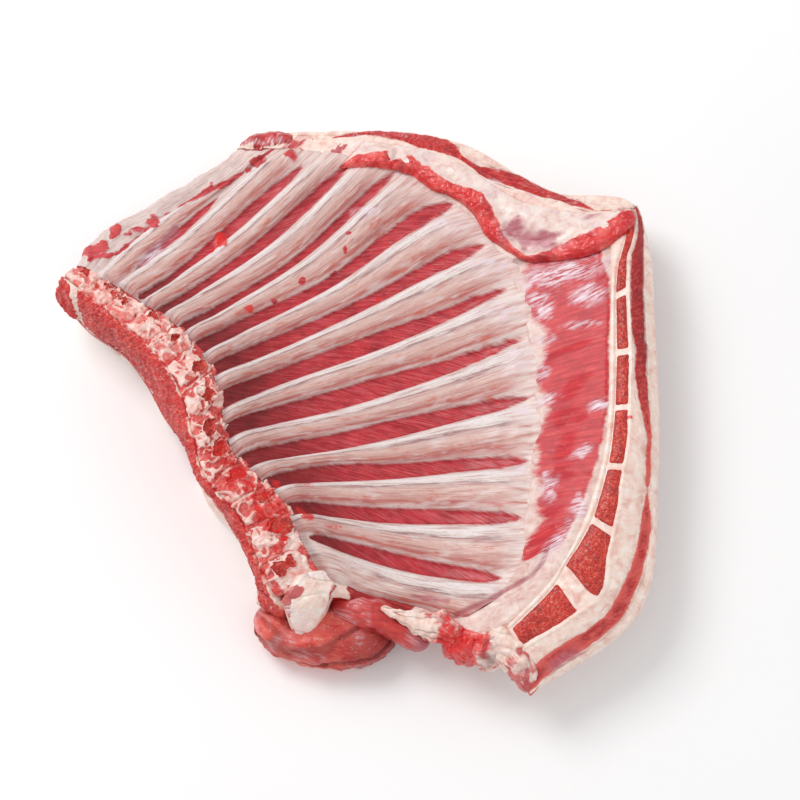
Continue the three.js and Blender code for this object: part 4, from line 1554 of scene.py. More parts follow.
@dataclass
class Midriff(Sheet):
    """The diaphragm, cut short and folded over the flank: a thick red edge and a thin skin."""

    def relief(self, ground: Ground) -> Array:
        """Thick edge: a quarter circle from the cut, then thinning outwards; lumpy and torn."""
        edges = self.edges(ground)
        cut = np.minimum(edges[Side.INNER], edges[Side.FIRST])
        thick = 1.8 + 3.8 * np.sqrt(np.clip(1.0 - (1.0 - np.clip(cut / 4.0, 0, 1)) ** 2, 0, 1))
        thick -= 3.2 * smooth(self.inside(ground), 1.0, -6.0)
        thick *= 0.45 + 0.55 * smooth(ground.row, 10.6, 9.9)
        fold = drawn_out(ground, 30.0, ROW_MM / 3.2)
        lumps = 1.6 * ground.noise(7.0, 61) + 1.0 * ground.noise(2.8, 62)
        lumps = lumps * smooth(self.inside(ground), -4.0, 2.0) + 1.3 * value_noise(fold, 67)
        return 1.2 + thick + lumps + 0.5 * ground.noise(12.0, 63)

    def inside(self, ground: Ground) -> Array:
        """Distance in millimetres into the red part: the cut edge, and the fold towards the corner."""
        edge = (midriff_red(ground.row) - ground.lane) * ground.stretch
        fold = (midriff_fold(ground.lane) - ground.row) * ground.pitch
        return np.maximum(edge, fold)

    def marks(self, ground: Ground) -> Marks:
        """Red edge, purple patches on the skin and torn cream shreds."""
        shreds = spotted(ground, (
            Spot(2.45, 9.75, 4, 3), Spot(2.75, 7.02, 4, 2, 20), Spot(3.2, 7.1, 3, 2, 20),
            Spot(2.15, 8.9, 3, 2), Spot(2.3, 9.35, 6, 2.5, -30), Spot(2.5, 8.1, 2, 5, 10),
        ))
        inside = self.inside(ground) + 1.8 * ground.noise(6.0, 64) - 5.0 * shreds
        patch = spotted(ground, (
            Spot(2.3, 7.45, 9, 9, 30), Spot(2.4, 7.2, 17, 7, -20), Spot(3.6, 7.35, 11, 3, 35, 0.7),
        ))
        folds = smooth(ground.noise(16.0, 65), 0.05, 0.5)
        return {
            "flesh": inside,
            "light": smooth(ground.noise(7.0, 68), -0.1, 0.5),
            "shade": 0.35 * smooth(ground.noise(9.0, 69), 0.1, 0.5) * smooth(inside, 0.0, 2.0),
            "lilac": 0.95 * patch,
            "sheen": 0.5 * folds * smooth(inside, 1.0, -3.0) * (1.0 - 0.8 * patch),
            "blood": 0.5 * smooth(inside, 0.0, 4.0) * smooth(ground.noise(9.0, 66), -0.3, 0.3),
        }


# ---- split bones


@dataclass
class BreastBone(Sheet):
    """One piece of the split breastbone: a spongy red cut face."""

    seed: int = 0

    def relief(self, ground: Ground) -> Array:
        """Sawn face: slightly crowned, with pores."""
        share = ground.along / ground.along[:, -1:]
        return 1.2 + 0.5 * (1 - (2 * share - 1) ** 2) + 0.35 * ground.noise(1.8, 70 + self.seed, 2)

    def marks(self, ground: Ground) -> Marks:
        """Marrow all over, but a thin white rind at the edges."""
        marrow = smooth(self.nearest_edge(ground), -0.2, 1.0)
        return {"flesh": np.full(ground.lane.shape, ALL_FAT), "marrow": marrow}


@dataclass
class SternumRind(Sheet):
    """White cartilage along the inner side of the breastbone."""

    def relief(self, ground: Ground) -> Array:
        """Round ridge: a half circle across."""
        share = np.clip(ground.along / ground.along[:, -1:], 0, 1)
        return 0.5 + 1.5 * np.sin(math.pi * share) ** 0.7 + 0.3 * ground.noise(6.0, 81)


# Place of the spongy body on each vertebra: across (0 at the back to 1 at the ribs) and along (-1 to 1).
BODY_PLACES = (
    (0.49, 0.2), (0.76, 0.4), (0.7, 0.45), (0.65, 0.4), (0.68, 0.3), (0.56, 0.0), (0.64, -0.3), (0.69, -0.3),
    (0.64, 0.2), (0.7, 0.3), (0.62, 0.4), (0.76, 0.0), (0.72, 0.0),
)
SMALL_FROM = 9  # the first vertebra with a small body and lighter flesh


@dataclass
class Vertebra(Sheet):
    """Half of one split vertebra: spongy body and the curled rims of its arch."""

    number: int = 1

    def shapes(self, ground: Ground) -> tuple[Array, Array, Array, Array]:
        """Places on the vertebra, its spongy body and its curls, all bent by noise.

        The body is 1 - r^2 of its own oval radius. The curls are 1 where a noise, itself bent by
        another one, crosses zero.

        Returns:
            Along (-1 to 1), across (0 at the back to 1 at the ribs), body and curls.
        """
        seed = 100 * self.number
        across = (ground.lane + 0.98) / 0.84 + 0.2 * ground.noise(7.0, seed + 1)
        along = (ground.row - self.number) / 0.5 + 0.36 * ground.noise(7.0, seed)
        middle = BODY_PLACES[self.number - 1]
        length, width = (0.5, 0.2) if self.number < SMALL_FROM else (0.3, 0.11)
        body = 1.0 - ((across - middle[0]) / width) ** 2 - ((along - middle[1]) / length) ** 2
        along = along + 0.5 * (across - 0.5)
        bend = np.stack([ground.noise(9.0, seed + k, 2) for k in (5, 6, 7)], axis=-1)
        curls = bell(fractal(ground.point + 5.0 * bend, 8.0, seed + 2, 2), 0.16)
        return along, across, body, curls

    def smooth_fat(self, across: Array) -> Array:
        """Share of smooth white fat, which covers the rib side of the first two vertebrae."""
        start = {1: 0.3, 2: 0.62}.get(self.number, 2.0)
        return smooth(across, start, start + 0.1)

    def relief(self, ground: Ground) -> Array:
        """Domed lump with sharp curls, a sunken spongy body in a raised rim, and crumbs."""
        along, across, body, curls = self.shapes(ground)
        curls = curls * (1.0 - self.smooth_fat(across))
        lump = np.clip(1.0 - np.abs(along) ** 3 - np.abs(2.0 * across - 1.0) ** 4, 0.0, 1.0)
        outside = smooth(body, 0.15, -0.15)
        rise = -1.4 + 2.4 * np.sqrt(lump) + 2.2 * (curls - 0.3) * outside
        rise += 1.1 * bell(body, 0.2) - 0.8 * smooth(body, 0.2, 0.5)
        rise -= 2.6 * smooth(np.abs(along), 0.85, 1.1)
        rise -= 3.6 * smooth(across, 0.08, -0.1) + 2.4 * smooth(across, 0.97, 1.12)
        return rise + 1.1 * ground.noise(2.6, 100 * self.number + 3)

    def marks(self, ground: Ground) -> Marks:
        """Marrow in the body, pink between the curls, red outside, blood low down on the spine."""
        along, across, body, curls = self.shapes(ground)
        loose = ground.noise(5.0, 100 * self.number + 8)
        pink = 2.0 * smooth(curls, 0.6, 0.1) - 1.1 + 1.2 * loose - 1.6 * bell(body, 0.16)
        pink += 3.0 * smooth(np.abs(along), 0.95, 1.2) + 3.5 * smooth(across, 0.04, -0.08)
        pink -= 0.5 * (self.number >= SMALL_FROM)
        rough = 1.0 - self.smooth_fat(across)
        pink -= 4.0 * self.smooth_fat(across)
        light = 0.5 if self.number < SMALL_FROM else 0.9
        bloody = {1: 0.3, 2: 0.9, 3: 1.0, 4: 0.75, 5: 0.6, 6: 0.45}.get(self.number, 0.35)
        blood = bloody * smooth(across, 0.2, 0.55) * smooth(ground.noise(8.0, 9), -0.6, 0.1)
        spots = 0.9 * smooth(loose, 0.3, 0.5) * smooth(across, 0.3, 0.45) * (self.number > 1) * rough
        return {
            "flesh": pink,
            "light": light * smooth(loose, -0.4, 0.5) * smooth(across, 0.0, 0.1),
            "marrow": np.maximum(smooth(body, -0.1, 0.2), spots),
            "blood": blood * rough,
        }


@dataclass
class SpineBed(Sheet):
    """Cartilage, fat and skin under and between the vertebrae."""

    def disc(self, ground: Ground) -> Array:
        """White discs: a bell over the distance from a wavering line between two vertebrae."""
        slope = 0.28 * (ground.lane + 0.5) + 0.12 * ground.noise(8.0, 93)
        between = np.abs(ground.row - slope - np.floor(ground.row - slope) - 0.5)
        return bell(between, 0.06)

    def relief(self, ground: Ground) -> Array:
        """Low and craggy, with a broken ridge along each disc."""
        broken = smooth(ground.noise(7.0, 94), -0.3, 0.2)
        return -1.2 + 1.6 * self.disc(ground) * broken + 1.8 * ground.noise(4.0, 91)

    def marks(self, ground: Ground) -> Marks:
        """Pink and red in the low places."""
        disc = self.disc(ground)
        return {"flesh": 3.0 * ground.noise(6.0, 92) + 0.8 - 2.0 * disc, "light": 0.5 * disc}


# ---- back, neck and skin


@dataclass
class BackMeat(Sheet):
    """The eye muscle along the back, beside and under the spine."""

    def relief(self, ground: Ground) -> Array:
        """Grainy lumps beside the spine; under the spine it lies lower."""
        under = 14.0 * smooth(ground.lane, -1.03, -0.9)
        knob = 3.5 * smooth(stroked(ground, (Stroke(((-1.25, 13.3), (-1.8, 12.6)), 12.0),)), 0.0, 8.0)
        torn = 1.2 * bell(ground.noise(5.0, 106), 0.15)
        lumps = 1.3 * ground.noise(14.0, 101) + 0.8 * ground.noise(2.6, 102)
        return lumps - under + knob + torn

    def marks(self, ground: Ground) -> Marks:
        """Muscle with a cream line near the loin end and pale skin along its lower edge."""
        seam = Stroke(((-1.0, 12.85), (-1.36, 12.4), (-1.78, 11.87), (-2.0, 11.5)), 2.0)
        line = smooth(stroked(ground, (seam,)), 0, 1.2)
        skin = smooth(ground.lane, -1.75, -1.98) + 0.5 * ground.noise(12.0, 103)
        crest = smooth(ground.lane, -1.14, -1.0) + 0.6 * ground.noise(7.0, 105)
        pale = 9.0 * line + 5.0 * np.maximum(skin, crest)
        return {"flesh": 5.0 - pale + 1.5 * ground.noise(4.0, 104)}


@dataclass
class SkinSide(Sheet):
    """Fat and skin of the outside: the rims that show and the whole underside."""

    def lanes(self, rows: Array) -> Array:
        """Lanes of the grid, closer together at the rims."""
        share = np.linspace(-1.0, 1.0, self.grid[1] + 1)
        eased = 0.5 + 0.5 * (1.45 * share - 0.45 * share**3)
        return np.broadcast_to(self.inner + (self.outer - self.inner) * eased, (len(rows), len(share)))

    def surface(self, ground: Ground) -> Array:
        """Top: up to the patch at the rims, and a thin layer under the meat between them."""
        top = super().surface(ground)
        outer = np.maximum(stripe_out(ground.row), 4.2)
        rim = np.maximum(smooth(ground.lane, -1.94, -1.98), smooth(ground.lane - outer, -0.02, 0.05))
        top[..., 2] = np.maximum(top[..., 2] * rim + (ground.floor + 3.5) * (1 - rim), ground.floor + 1.0)
        return top

    def relief(self, ground: Ground) -> Array:
        """Soft lumps on the rims."""
        return 0.2 + 0.8 * ground.noise(9.0, 111)

    def underside(self, ground: Ground) -> Array:
        """Underside of the whole body, softly uneven off the table."""
        low = ground.point.copy()
        off_table = smooth(ground.floor, 0.5, 6.0)
        low[..., 2] = ground.floor + off_table * 0.8 * (1 + ground.noise(18.0, 112))
        return low

    def below(self, ground: Ground) -> Array:
        """Thin muscle showing through the fat of the underside, in torn streaks across the ribs."""
        slant = np.stack([ground.point[..., 0] / 60.0, ground.point[..., 1] / 26.0, 0 * ground.lane], axis=-1)
        broad = value_noise(slant, 113) + 0.6 * ground.noise(16.0, 114)
        veil = np.minimum(12.0 * broad - 2.0, 1.2 + 2.5 * ground.noise(10.0, 116))
        rim = smooth(ground.lane, 4.8, 4.2) * smooth(ground.lane, -1.9, -1.6)
        return np.maximum(veil, -6.0) * rim - 6.0 * (1.0 - rim)

    def marks(self, ground: Ground) -> Marks:
        """Torn muscle along the rim beside the back."""
        back = 3.0 * smooth(ground.lane, -1.9, -1.95) + 3.0 * ground.noise(9.0, 115)
        return {"flesh": back - 2.0 - 9 * (ground.lane > -1.8)}


@dataclass
class NeckSlab(Sheet):
    """Muscle wedge at the neck end, red beside the spine."""

    def relief(self, ground: Ground) -> Array:
        """Nearly flat, under the skin of the first rib."""
        return -0.5 + 0.9 * ground.noise(6.0, 121)

    def marks(self, ground: Ground) -> Marks:
        """Red near the spine, with blood farther out."""
        inside = np.minimum(ground.lane - 0.16, 1.0 - ground.lane) * ground.stretch
        blood = 0.9 * smooth(ground.lane, 0.95, 1.25) * smooth(ground.noise(7.0, 124), -0.2, 0.3)
        return {"flesh": inside + 1.5 * ground.noise(6.0, 123), "blood": blood}


@dataclass
class NeckLobe(Sheet):
    """Smooth fat at the neck end of the spine, which hangs over the end face."""

    drop: float = 24.0  # how far it hangs down

    def bent(self, ground: Ground, place: Array) -> Array:
        """Lowers places beyond the neck edge by a smooth step.

        Args:
            ground: The patch at the grid.
            place: Places to lower.

        Returns:
            The lowered places.
        """
        place = place.copy()
        place[..., 2] -= self.drop * smooth(ground.row, 0.12, self.rows[0])
        return place

    def surface(self, ground: Ground) -> Array:
        """Top: the sheet's own, bent down over the end face."""
        return self.bent(ground, super().surface(ground))

    def underside(self, ground: Ground) -> Array:
        """Underside: the top's shape, lower by the depth."""
        low = self.bent(ground, ground.point)
        low[..., 2] = np.maximum(low[..., 2] - self.depth, 1.0)
        return low

    def relief(self, ground: Ground) -> Array:
        """Smooth swelling, higher in the middle of the lobe."""
        hump = bell((ground.lane + 0.5) / 0.4, 1.0)
        fold = bell(value_noise(ground.point / (14.0, 5.0, 9.0), 127), 0.14)
        lumps = 1.2 * ground.noise(10.0, 122) + 0.45 * ground.noise(3.0, 126)
        return 0.8 + 2.2 * hump - 1.2 * fold + lumps

    def marks(self, ground: Ground) -> Marks:
        """Fat with a few red bits near the spine and along its back."""
        red = spotted(ground, (
            Spot(-0.8, 0.3, 3.5, 6, 20), Spot(-0.6, 0.42, 6, 3.5, 20), Spot(-0.12, 0.1, 3, 6, 0, 0.8),
            Spot(-0.9, 0.05, 4, 4, 0, 0.9),
        ))
        return {
            "flesh": 5.0 * red + 2.4 * ground.noise(6.0, 125) - 2.4,
            "light": 0.6 * red,
            "sheen": 0.6 * smooth(ground.noise(9.0, 128), 0.1, 0.5),
        }


LOBE_ROWS = (12.3, 12.42, 12.6, 12.85, 13.25, 13.4, 13.48)
lobe_in = table(LOBE_ROWS, (3.2, 2.6, 2.2, 1.98, 1.98, 2.1, 2.5))
lobe_out = table(LOBE_ROWS, (3.5, 4.2, 4.6, 4.85, 4.85, 4.7, 4.2))


@dataclass
class Lobe(Sheet):
    """A soft red lobe that lies on the flank."""

    def relief(self, ground: Ground) -> Array:
        """Swells to 5 mm by the square root of the distance from its edge."""
        edge = self.nearest_edge(ground)
        return 0.9 + 4.6 * np.sqrt(np.clip(edge / 9.0, 0, 1)) + 1.6 * ground.noise(8.0, 131)

    def marks(self, ground: Ground) -> Marks:
        """Muscle with pale edges."""
        edge = self.nearest_edge(ground)
        wet = ground.noise(6.0, 133)
        return {
            "flesh": edge - 0.5 + 5.0 * ground.noise(9.0, 132),
            "light": smooth(wet, -0.3, 0.3),
            "lilac": 0.6 * smooth(wet, 0.1, 0.5),
            "sheen": 0.6 * smooth(ground.noise(7.0, 134), 0.0, 0.4),
            "blood": 0.3 * smooth(edge, 3.0, 8.0),
        }


# ---- neck rolls


@dataclass(frozen=True)
class Knot:
    """One station of a roll.

    Attributes:
        place: Middle of the roll.
        wide: Half its width.
        high: Half its height.
        flesh: Distance into the flesh; negative for fat.
        blood: Share of blood.
        mauve: Share of mauve skin.
        shade: Share of a darker tone.
    """

    place: tuple[float, float, float]
    wide: float
    high: float
    flesh: float = 5.0
    blood: float = 0.0
    mauve: float = 0.0
    shade: float = 0.0


@dataclass
class Roll:
    """A trimmed muscle or piece of fat: a lumpy tube along a path, closed at both ends.

    Attributes:
        name: Name of the piece.
        replaces: Node that it stands for.
        finish: Its finish.
        knots: Its stations.
        lumps: Share by which its radius wanders.
        folds: Depth of its long folds.
        seed: Chooses the lumps.
        rings: Rings along its path.
        sides: Vertices of each ring.
    """

    name: str
    replaces: str
    finish: Tissue
    knots: tuple[Knot, ...]
    lumps: float = 0.12
    folds: float = 0.0
    seed: int = 0
    rings: int = 110
    sides: int = 90

    def course(self, quality: str, share: Array) -> Array:
        """One of the knots' numbers, straight from knot to knot, over the share of the path."""
        stations = np.linspace(0.0, 1.0, len(self.knots))
        return np.interp(share, stations, [getattr(knot, quality) for knot in self.knots])

    def tube(self, path: Array, share: Array, angle: Array) -> tuple[Array, Array]:
        """Rings of the roll.

        Each ring is a rounded square (power 2.5) square to the path. Its size falls to a point at
        the ends by (1 - x^6)^0.45, and noise and long folds move each vertex along its own radius.

        Args:
            path: Middles of the knots, shape (1, k, 3).
            share: Share of the path at each ring.
            angle: Angle of each side.

        Returns:
            Places, shape (rings, sides, 3), and the depth of the folds there.
        """
        stations = np.linspace(0.0, 1.0, len(self.knots))
        centre = hermite(path, stations, share[None])[0]
        ahead = hermite(path, stations, share[None] + 0.01)[0] - centre
        heading = np.arctan2(ahead[:, 1], ahead[:, 0])
        sideways = np.stack([np.sin(heading), -np.cos(heading), 0 * heading], axis=1)
        wide, high = self.course("wide", share), self.course("high", share)
        round_off = (np.abs(np.cos(angle)) ** 2.5 + np.abs(np.sin(angle)) ** 2.5) ** -0.4
        reach = sideways[:, None] * (wide[:, None] * (round_off * np.cos(angle))[None])[..., None]
        rise = np.array([0.0, 0.0, -1.0]) * (high[:, None] * (round_off * np.sin(angle))[None])[..., None]
        swell = (1.0 - np.abs(2.0 * share - 1.0) ** 6) ** 0.45
        spoke = (reach + rise) * swell[:, None, None]
        bare = centre[:, None] + spoke
        lumps = fractal(bare, 15.0, self.seed) + 0.5 * fractal(bare, 4.0, self.seed + 1)
        across = angle[None] * 1.6 + 3.0 * share[:, None]
        fold = np.stack([share[:, None] * 2.2 + 0 * across, across, 0 * across], axis=-1)
        crease = bell(value_noise(fold, self.seed + 2), 0.12) * self.folds
        grow = 1.0 + self.lumps * lumps - crease / np.maximum(wide, high)[:, None]
        points = centre[:, None] + spoke * grow[..., None]
        points[..., 2] = np.maximum(points[..., 2], 0.2)
        return points, crease

    def marks(self, vertices: Array, share: Array, crease: Array) -> Marks:
        """Point attributes: the knots' numbers, each made uneven by noise, and painted shade in the folds."""
        names = ("flesh", "blood", "mauve", "shade")
        flesh, blood, mauve, shade = (self.course(name, share) for name in names)
        drops = smooth(fractal(vertices, 7.0, self.seed + 4), -0.3, 0.3)
        skin = smooth(mauve + 0.15 * fractal(vertices, 5.0, self.seed + 5), 0.45, 0.6)
        return {
            "flesh": flesh + 4.0 * fractal(vertices, 8.0, self.seed + 3),
            "blood": blood * (0.6 + 0.6 * drops),
            # Painted shade in the folds, over the knots' own darker tone.
            "shade": shade + 0.5 * crease / max(self.folds, 1.0),
            "lilac": 0.8 * skin,
            "light": smooth(fractal(vertices, 9.0, self.seed + 6), -0.7, 0.2) * (1.0 - shade),
            "sheen": 0.4 * smooth(fractal(vertices, 12.0, self.seed + 7), 0.0, 0.5) * (flesh > 0),
        }

    def build(self) -> Piece:
        """Builds the piece: rings that stand closer at the ends, closed by a fan at each end.

        Returns:
            The finished piece.
        """
        share = 0.5 - 0.5 * np.cos(np.linspace(0.0, math.pi, self.rings + 2)[1:-1])
        angle = np.linspace(0.0, 2 * math.pi, self.sides, endpoint=False)
        path = np.array([knot.place for knot in self.knots], float)[None]
        points, crease = self.tube(path, share, angle)
        vertices = np.concatenate([points.reshape(-1, 3), path[0, [0, -1]]])
        around = closed(numbered(points))
        first, last = (np.full(self.sides, len(vertices) - back) for back in (2, 1))
        fan = np.stack([first, around[0, 1:], around[0, :-1]], axis=1)
        cap = np.stack([last, around[-1, :-1], around[-1, 1:]], axis=1)
        length = np.linalg.norm(np.diff(path[0], axis=0), axis=1).sum() / CENTIMETRE
        girth = (self.course("wide", share).max() + self.course("high", share).max()) * math.pi / CENTIMETRE
        turns = angle[None] / (2 * math.pi)
        grain = np.stack(np.broadcast_arrays(share[:, None] * length, turns * girth), axis=-1)
        grain = np.concatenate([grain.reshape(-1, 2), [[0.0, 0.0], [length, 0.0]]])
        shares = np.concatenate([np.repeat(share, self.sides), [0.0, 1.0]])
        marks = self.marks(vertices, shares, np.concatenate([crease.ravel(), [0.0, 0.0]]))
        piece = make_object(self.name, vertices, [grid_quads(around), fan, cap], grain, marks)
        return WARDROBE.dress(piece, self.finish, (self.replaces,))


# ---- sub-assemblies


class Assembly:
    """A group of pieces."""

    def pieces(self) -> Iterable[Union[Sheet, Roll]]:
        """The pieces, in the order in which they are built."""
        raise NotImplementedError

    def build(self) -> None:
        """Builds every piece."""
        for piece in self.pieces():
            piece.build()


@dataclass
class BackAndSkin(Assembly):
    """Muscle along the back and the skin side."""

    back: float = -2.0  # lane of the back edge
    rim: float = 5.0  # lane of the outer rim

    def pieces(self) -> Iterable[Sheet]:
        """The back meat and the fat cover."""
        yield BackMeat(
            "back_meat", ("loin_muscle",), BACK_MEAT, inner=self.back + 0.01, outer=-0.6,
            grid=(400, 110), tuck=(2.6, 0.0, 2.0, 2.5), tuck_width=4.0, cut=4.0,
        )
        yield SkinSide(
            "skin_side", ("fat_cover",), FAT, inner=self.back, outer=self.rim,
            grid=(240, 200), tuck=(2.5, 1.6, 1.0, 1.0),
        )


@dataclass
class Spine(Assembly):
    """Split vertebrae on their bed."""

    bones: int = 13
    half: float = 0.52  # half the length of a vertebra, in rows
    depth: float = 12.0  # its thickness

    def pieces(self) -> Iterable[Sheet]:
        """The bed, then the vertebrae from the neck to the loin."""
        yield SpineBed(
            "spine_bed", ("spine_cartilage",), MARROW, inner=-1.04, outer=-0.04, rows=(0.45, LAST_ROW),
            grid=(400, 44), tuck=(2.5, 0.6, 1.0, 2.0), cut=1.0,
        )
        for k in range(1, self.bones + 1):
            yield Vertebra(
                f"split_vertebra_{k:02d}", (f"vertebra_{k:02d}",), MARROW, inner=-1.02, outer=-0.11,
                rows=(k - self.half, min(k + self.half, LAST_ROW)), grid=(64, 64), depth=self.depth,
                tuck=(1.5, 1.5, 0.8, 0.8), tuck_width=2.5, cut=0.0, number=k,
            )


@dataclass
class Chest(Assembly):
    """Ribs, the muscle between them, the breast lining and the flank."""

    ribs: int = 13

    def pieces(self) -> Iterable[Sheet]:
        """The inner side of the body, from the ribs to the flank."""
        ribs = tuple(f"rib_{k:02d}" for k in range(1, self.ribs + 1))
        yield RibWall(
            "rib_wall", ("chest_wall", *ribs), RIB_WALL, inner=-0.15,
            outer=table((0.42, 0.9, 1.2, 1.5), (1.72, 1.86, 2.02, 2.1)), rows=(0.42, LAST_ROW),
            grid=(440, 184), step=4, tuck=(0.4, 0.8, 0.8, 2.0), tuck_width=6.0, cut=3.0,
        )
        yield BreastLining(
            "inner_breast", ("breast_lining",), LINING,
            inner=table((0.0, 0.5, 0.9, 1.2, 1.5), (1.62, 1.64, 1.8, 1.95, 1.99)), outer=3.0,
            rows=(0.0, 7.3), grid=(296, 88), tuck=(0.6, 1.0, 2.0, 1.2), tuck_width=6.0, cut=2.0,
        )
        yield FlankSkin(
            "flank_skin", ("flank_fat",), FAT, inner=flank_in,
            outer=lambda row: np.maximum(stripe_in(row), 3.3) + 0.02, rows=(6.9, LAST_ROW),
            grid=(240, 80), tuck=(0.6, 0.6, 1.0, 1.6), tuck_width=4.0,
        )
        yield Midriff(
            "midriff_edge", ("diaphragm",), MIDRIFF_MEAT, inner=midriff_edge,
            outer=table((6.8, 7.0, 7.4), (4.35, 4.35, 3.4)), rows=(6.8, 10.6), grid=(320, 120),
            depth=ON_FLANK, tuck=(0.6, 0.8, 0.6, 0.8), cut=3.0,
        )
        yield Lobe(
            "flank_lobe_meat", ("flank_lobe",), NECK_MEAT, inner=lobe_in, outer=lobe_out,
            rows=(LOBE_ROWS[0], LOBE_ROWS[-1]), grid=(90, 90), depth=ON_FLANK,
            tuck=(1.0, 1.0, 1.0, 1.0), cut=3.0,
        )


@dataclass
class Breast(Assembly):
    """Split breastbone with its cartilage, the brisket fat and the outer muscle."""

    bone_depth: float = 8.0  # thickness of the breastbone

    def pieces(self) -> Iterable[Sheet]:
        """The split edge of the breast, then the breastbone from the neck to the flank."""
        yield OuterMuscle(
            "outer_muscle", ("breast_muscle",), BREAST_MEAT, inner=lambda row: stripe_in(row) - 0.1,
            outer=lambda row: np.maximum(stripe_out(row), 4.2) + 0.06,
            grid=(440, 40), tuck=(0.0, 0.3, 1.2, 1.2), cut=4.0,
        )
        yield BrisketFat(
            "brisket", ("brisket_fat",), FAT, inner=3.03, outer=lambda row: stripe_in(row) - 0.02,
            rows=(0.0, 7.27), grid=(280, 60), tuck=(0.5, 0.3, 1.6, 1.0),
        )
        yield SternumRind(
            "sternum_rind", ("sternum_cartilage",), CARTILAGE,
            inner=table((0, 5.6, 6.9, 7.2), (2.96, 2.96, 3.0, 3.2)), outer=lambda row: bone_in(row) - 0.01,
            rows=(0.04, 7.2), grid=(280, 16), tuck=(0.6, 0.6, 1.6, 1.0),
        )
        for i, rows in enumerate(BONE_ROWS):
            yield BreastBone(
                f"breastbone_{i + 1}", (f"sternebra_{i + 1}",), MARROW, inner=bone_in, outer=bone_out,
                rows=rows, grid=(56, 32), depth=self.bone_depth, tuck=(1.2, 1.2, 1.4, 1.4), tuck_width=1.8,
                seed=i,
            )


@dataclass
class Neck(Assembly):
    """Trimmed muscles and fat at the neck end and the breast tip."""

    lobe_depth: float = 7.0  # thickness of the fat lobe

    def pieces(self) -> Iterable[Union[Sheet, Roll]]:
        """The lobe and the wedge beside the spine, then the rolls from the back to the breast."""
        yield NeckLobe(
            "neck_lobe", ("neck_fat",), CARTILAGE, grid=(90, 70), rows=(-0.7, 0.75),
            inner=table((-0.7, -0.2, 0.3, 0.7), (-1.0, -0.98, -0.9, -0.5)),
            outer=table((-0.7, -0.45, -0.2, 0.3, 0.7), (-0.82, -0.58, -0.33, 0.04, 0.02)),
            depth=self.lobe_depth, tuck=(3.0, 3.0, 4.0, 0.8), tuck_width=4.5,
        )
        yield NeckSlab(
            "neck_wedge", ("neck_wedge_muscle",), NECK_MEAT, inner=-0.6, outer=2.02, rows=(0.0, 0.47),
            grid=(40, 130), tuck=(0.0, 0.5, 3.0, 0.0), tuck_width=4.0, cut=4.0,
        )
        yield Roll("neck_end_muscle", "neck_muscle", BACK_MEAT, lumps=0.13, folds=3.0, seed=201, knots=(
            Knot((-68, -134, 15), 12, 14), Knot((-50, -148, 17), 18, 17), Knot((-20, -151, 18), 21, 18),
            Knot((4, -151, 16), 20, 16, shade=0.5), Knot((24, -145, 12), 14, 12, shade=0.65),
        ))
        yield Roll("neck_side_roll", "neck_roll", NECK_MEAT, lumps=0.1, folds=0.5, seed=211, knots=(
            Knot((-20, -133, 28), 9, 10), Knot((0, -138, 30), 11, 11), Knot((18, -144, 30), 11, 11),
            Knot((36, -153, 28), 10, 10, mauve=0.3), Knot((46, -158, 25), 9, 9, 2, mauve=1.0),
        ))
        yield Roll("neck_trimming", "neck_trim", FAT, lumps=0.55, folds=1.5, seed=221, knots=(
            Knot((14, -137, 41), 2, 2, -4), Knot((24, -142, 43), 4, 4, -4),
            Knot((36, -147, 43), 7, 6, -3), Knot((50, -152, 43), 9, 8, -1, 0.4),
            Knot((68, -161, 41), 9, 8, 3, 1.3),
        ))
        meat = (
            Knot((54, -158, 31), 9, 12, 6, 1.3), Knot((66, -160, 35), 11, 14, 4, 1.1),
            Knot((80, -162, 39), 12, 14, -1, 0.3), Knot((97, -168, 40), 12, 13, -2),
        )
        yield Roll("breast_tip_meat", "breast_tip_muscle", MIDRIFF_MEAT, meat, 0.42, 1.5, seed=231)
        yield Roll("breast_tip_cap", "breast_tip_fat", FAT, lumps=0.3, folds=0.5, seed=241, knots=(
            Knot((84, -154, 47), 10, 9, -3), Knot((98, -167, 46), 12, 11, -1.2, mauve=0.3),
            Knot((107, -181, 43), 10, 11, 0, mauve=0.5), Knot((110, -192, 40), 6, 7, 2, 0.5),
        ))


# ---- studio


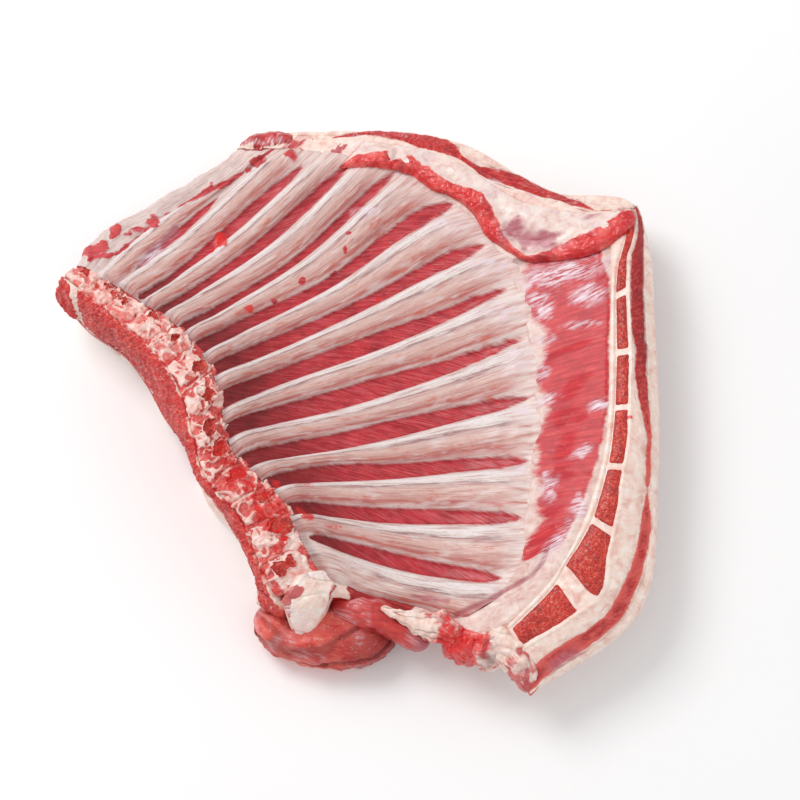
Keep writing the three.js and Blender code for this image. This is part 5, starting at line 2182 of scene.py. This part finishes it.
@dataclass(frozen=True)
class Studio:
    """Pale floor, soft light and the camera.

    Attributes:
        target: Point that the camera looks at, in metres.
        elevation: Height of the camera above the horizon, in degrees.
        distance: From the camera to the target.
        focal: Focal length in millimetres on a 36 mm sensor.
        floor_half: Half the width of the floor, in metres.
        sky: Strength of the light from the sky.
    """

    target: tuple[float, float, float] = (0.0315, -0.003435, 0.035)
    elevation: float = 72.0
    distance: float = 1.2
    focal: float = 79.4
    floor_half: float = 3.0
    sky: float = 0.68

    def camera(self) -> None:
        """Places the camera and makes it the scene's."""
        data = bpy.data.cameras.new("camera")
        data.lens = self.focal
        data.sensor_width = 36.0
        camera = linked("camera", data)
        angle = math.radians(self.elevation)
        back = Vector((0.0, -math.cos(angle), math.sin(angle)))
        camera.location = Vector(self.target) + back * self.distance
        camera.rotation_euler = (-back).to_track_quat("-Z", "Y").to_euler()
        bpy.context.scene.camera = camera

    def floor(self) -> None:
        """Lays the pale floor."""
        mesh = bpy.data.meshes.new("floor")
        half = self.floor_half
        corners = [(-half, -half, 0), (half, -half, 0), (half, half, 0), (-half, half, 0)]
        mesh.from_pydata(corners, [], [(0, 1, 2, 3)])
        recipe = Recipe("pale_floor")
        tone = recipe.ramp(recipe.noise(400.0, detail=1.0), ((0.3, "#fbfafa"), (0.7, "#ffffff")))
        mesh.materials.append(recipe.finish(tone, 0.8, 0.0, 0.0))
        linked("floor", mesh)

    def light(self) -> None:
        """Lights: a large key from the back left, a weaker fill from the front right, and the sky."""
        for name, place, size, power in (
            ("key", (-0.9, 0.75, 1.5), 0.9, 17.0),
            ("fill", (1.1, -0.9, 1.3), 1.4, 2.0),
        ):
            data = bpy.data.lights.new(name, "AREA")
            data.size = size
            data.energy = power
            lamp = linked(name, data)
            lamp.location = place
            lamp.rotation_euler = (Vector((0, 0, 0.03)) - Vector(place)).to_track_quat("-Z", "Y").to_euler()
        world = bpy.data.worlds.new("sky")
        world.use_nodes = True
        background = world.node_tree.nodes["Background"]
        background.inputs["Color"].default_value = (1.0, 1.0, 1.0, 1.0)
        background.inputs["Strength"].default_value = self.sky
        bpy.context.scene.world = world
        bpy.context.scene.view_settings.view_transform = "Standard"


def main() -> None:
    """Builds the studio and every sub-assembly, in order."""
    logging.basicConfig(level=logging.INFO, format="%(message)s")
    studio = Studio()
    studio.camera()
    studio.floor()
    studio.light()
    for assembly in (BackAndSkin(), Spine(), Chest(), Breast(), Neck()):
        assembly.build()


if __name__ == "__main__":
    main()
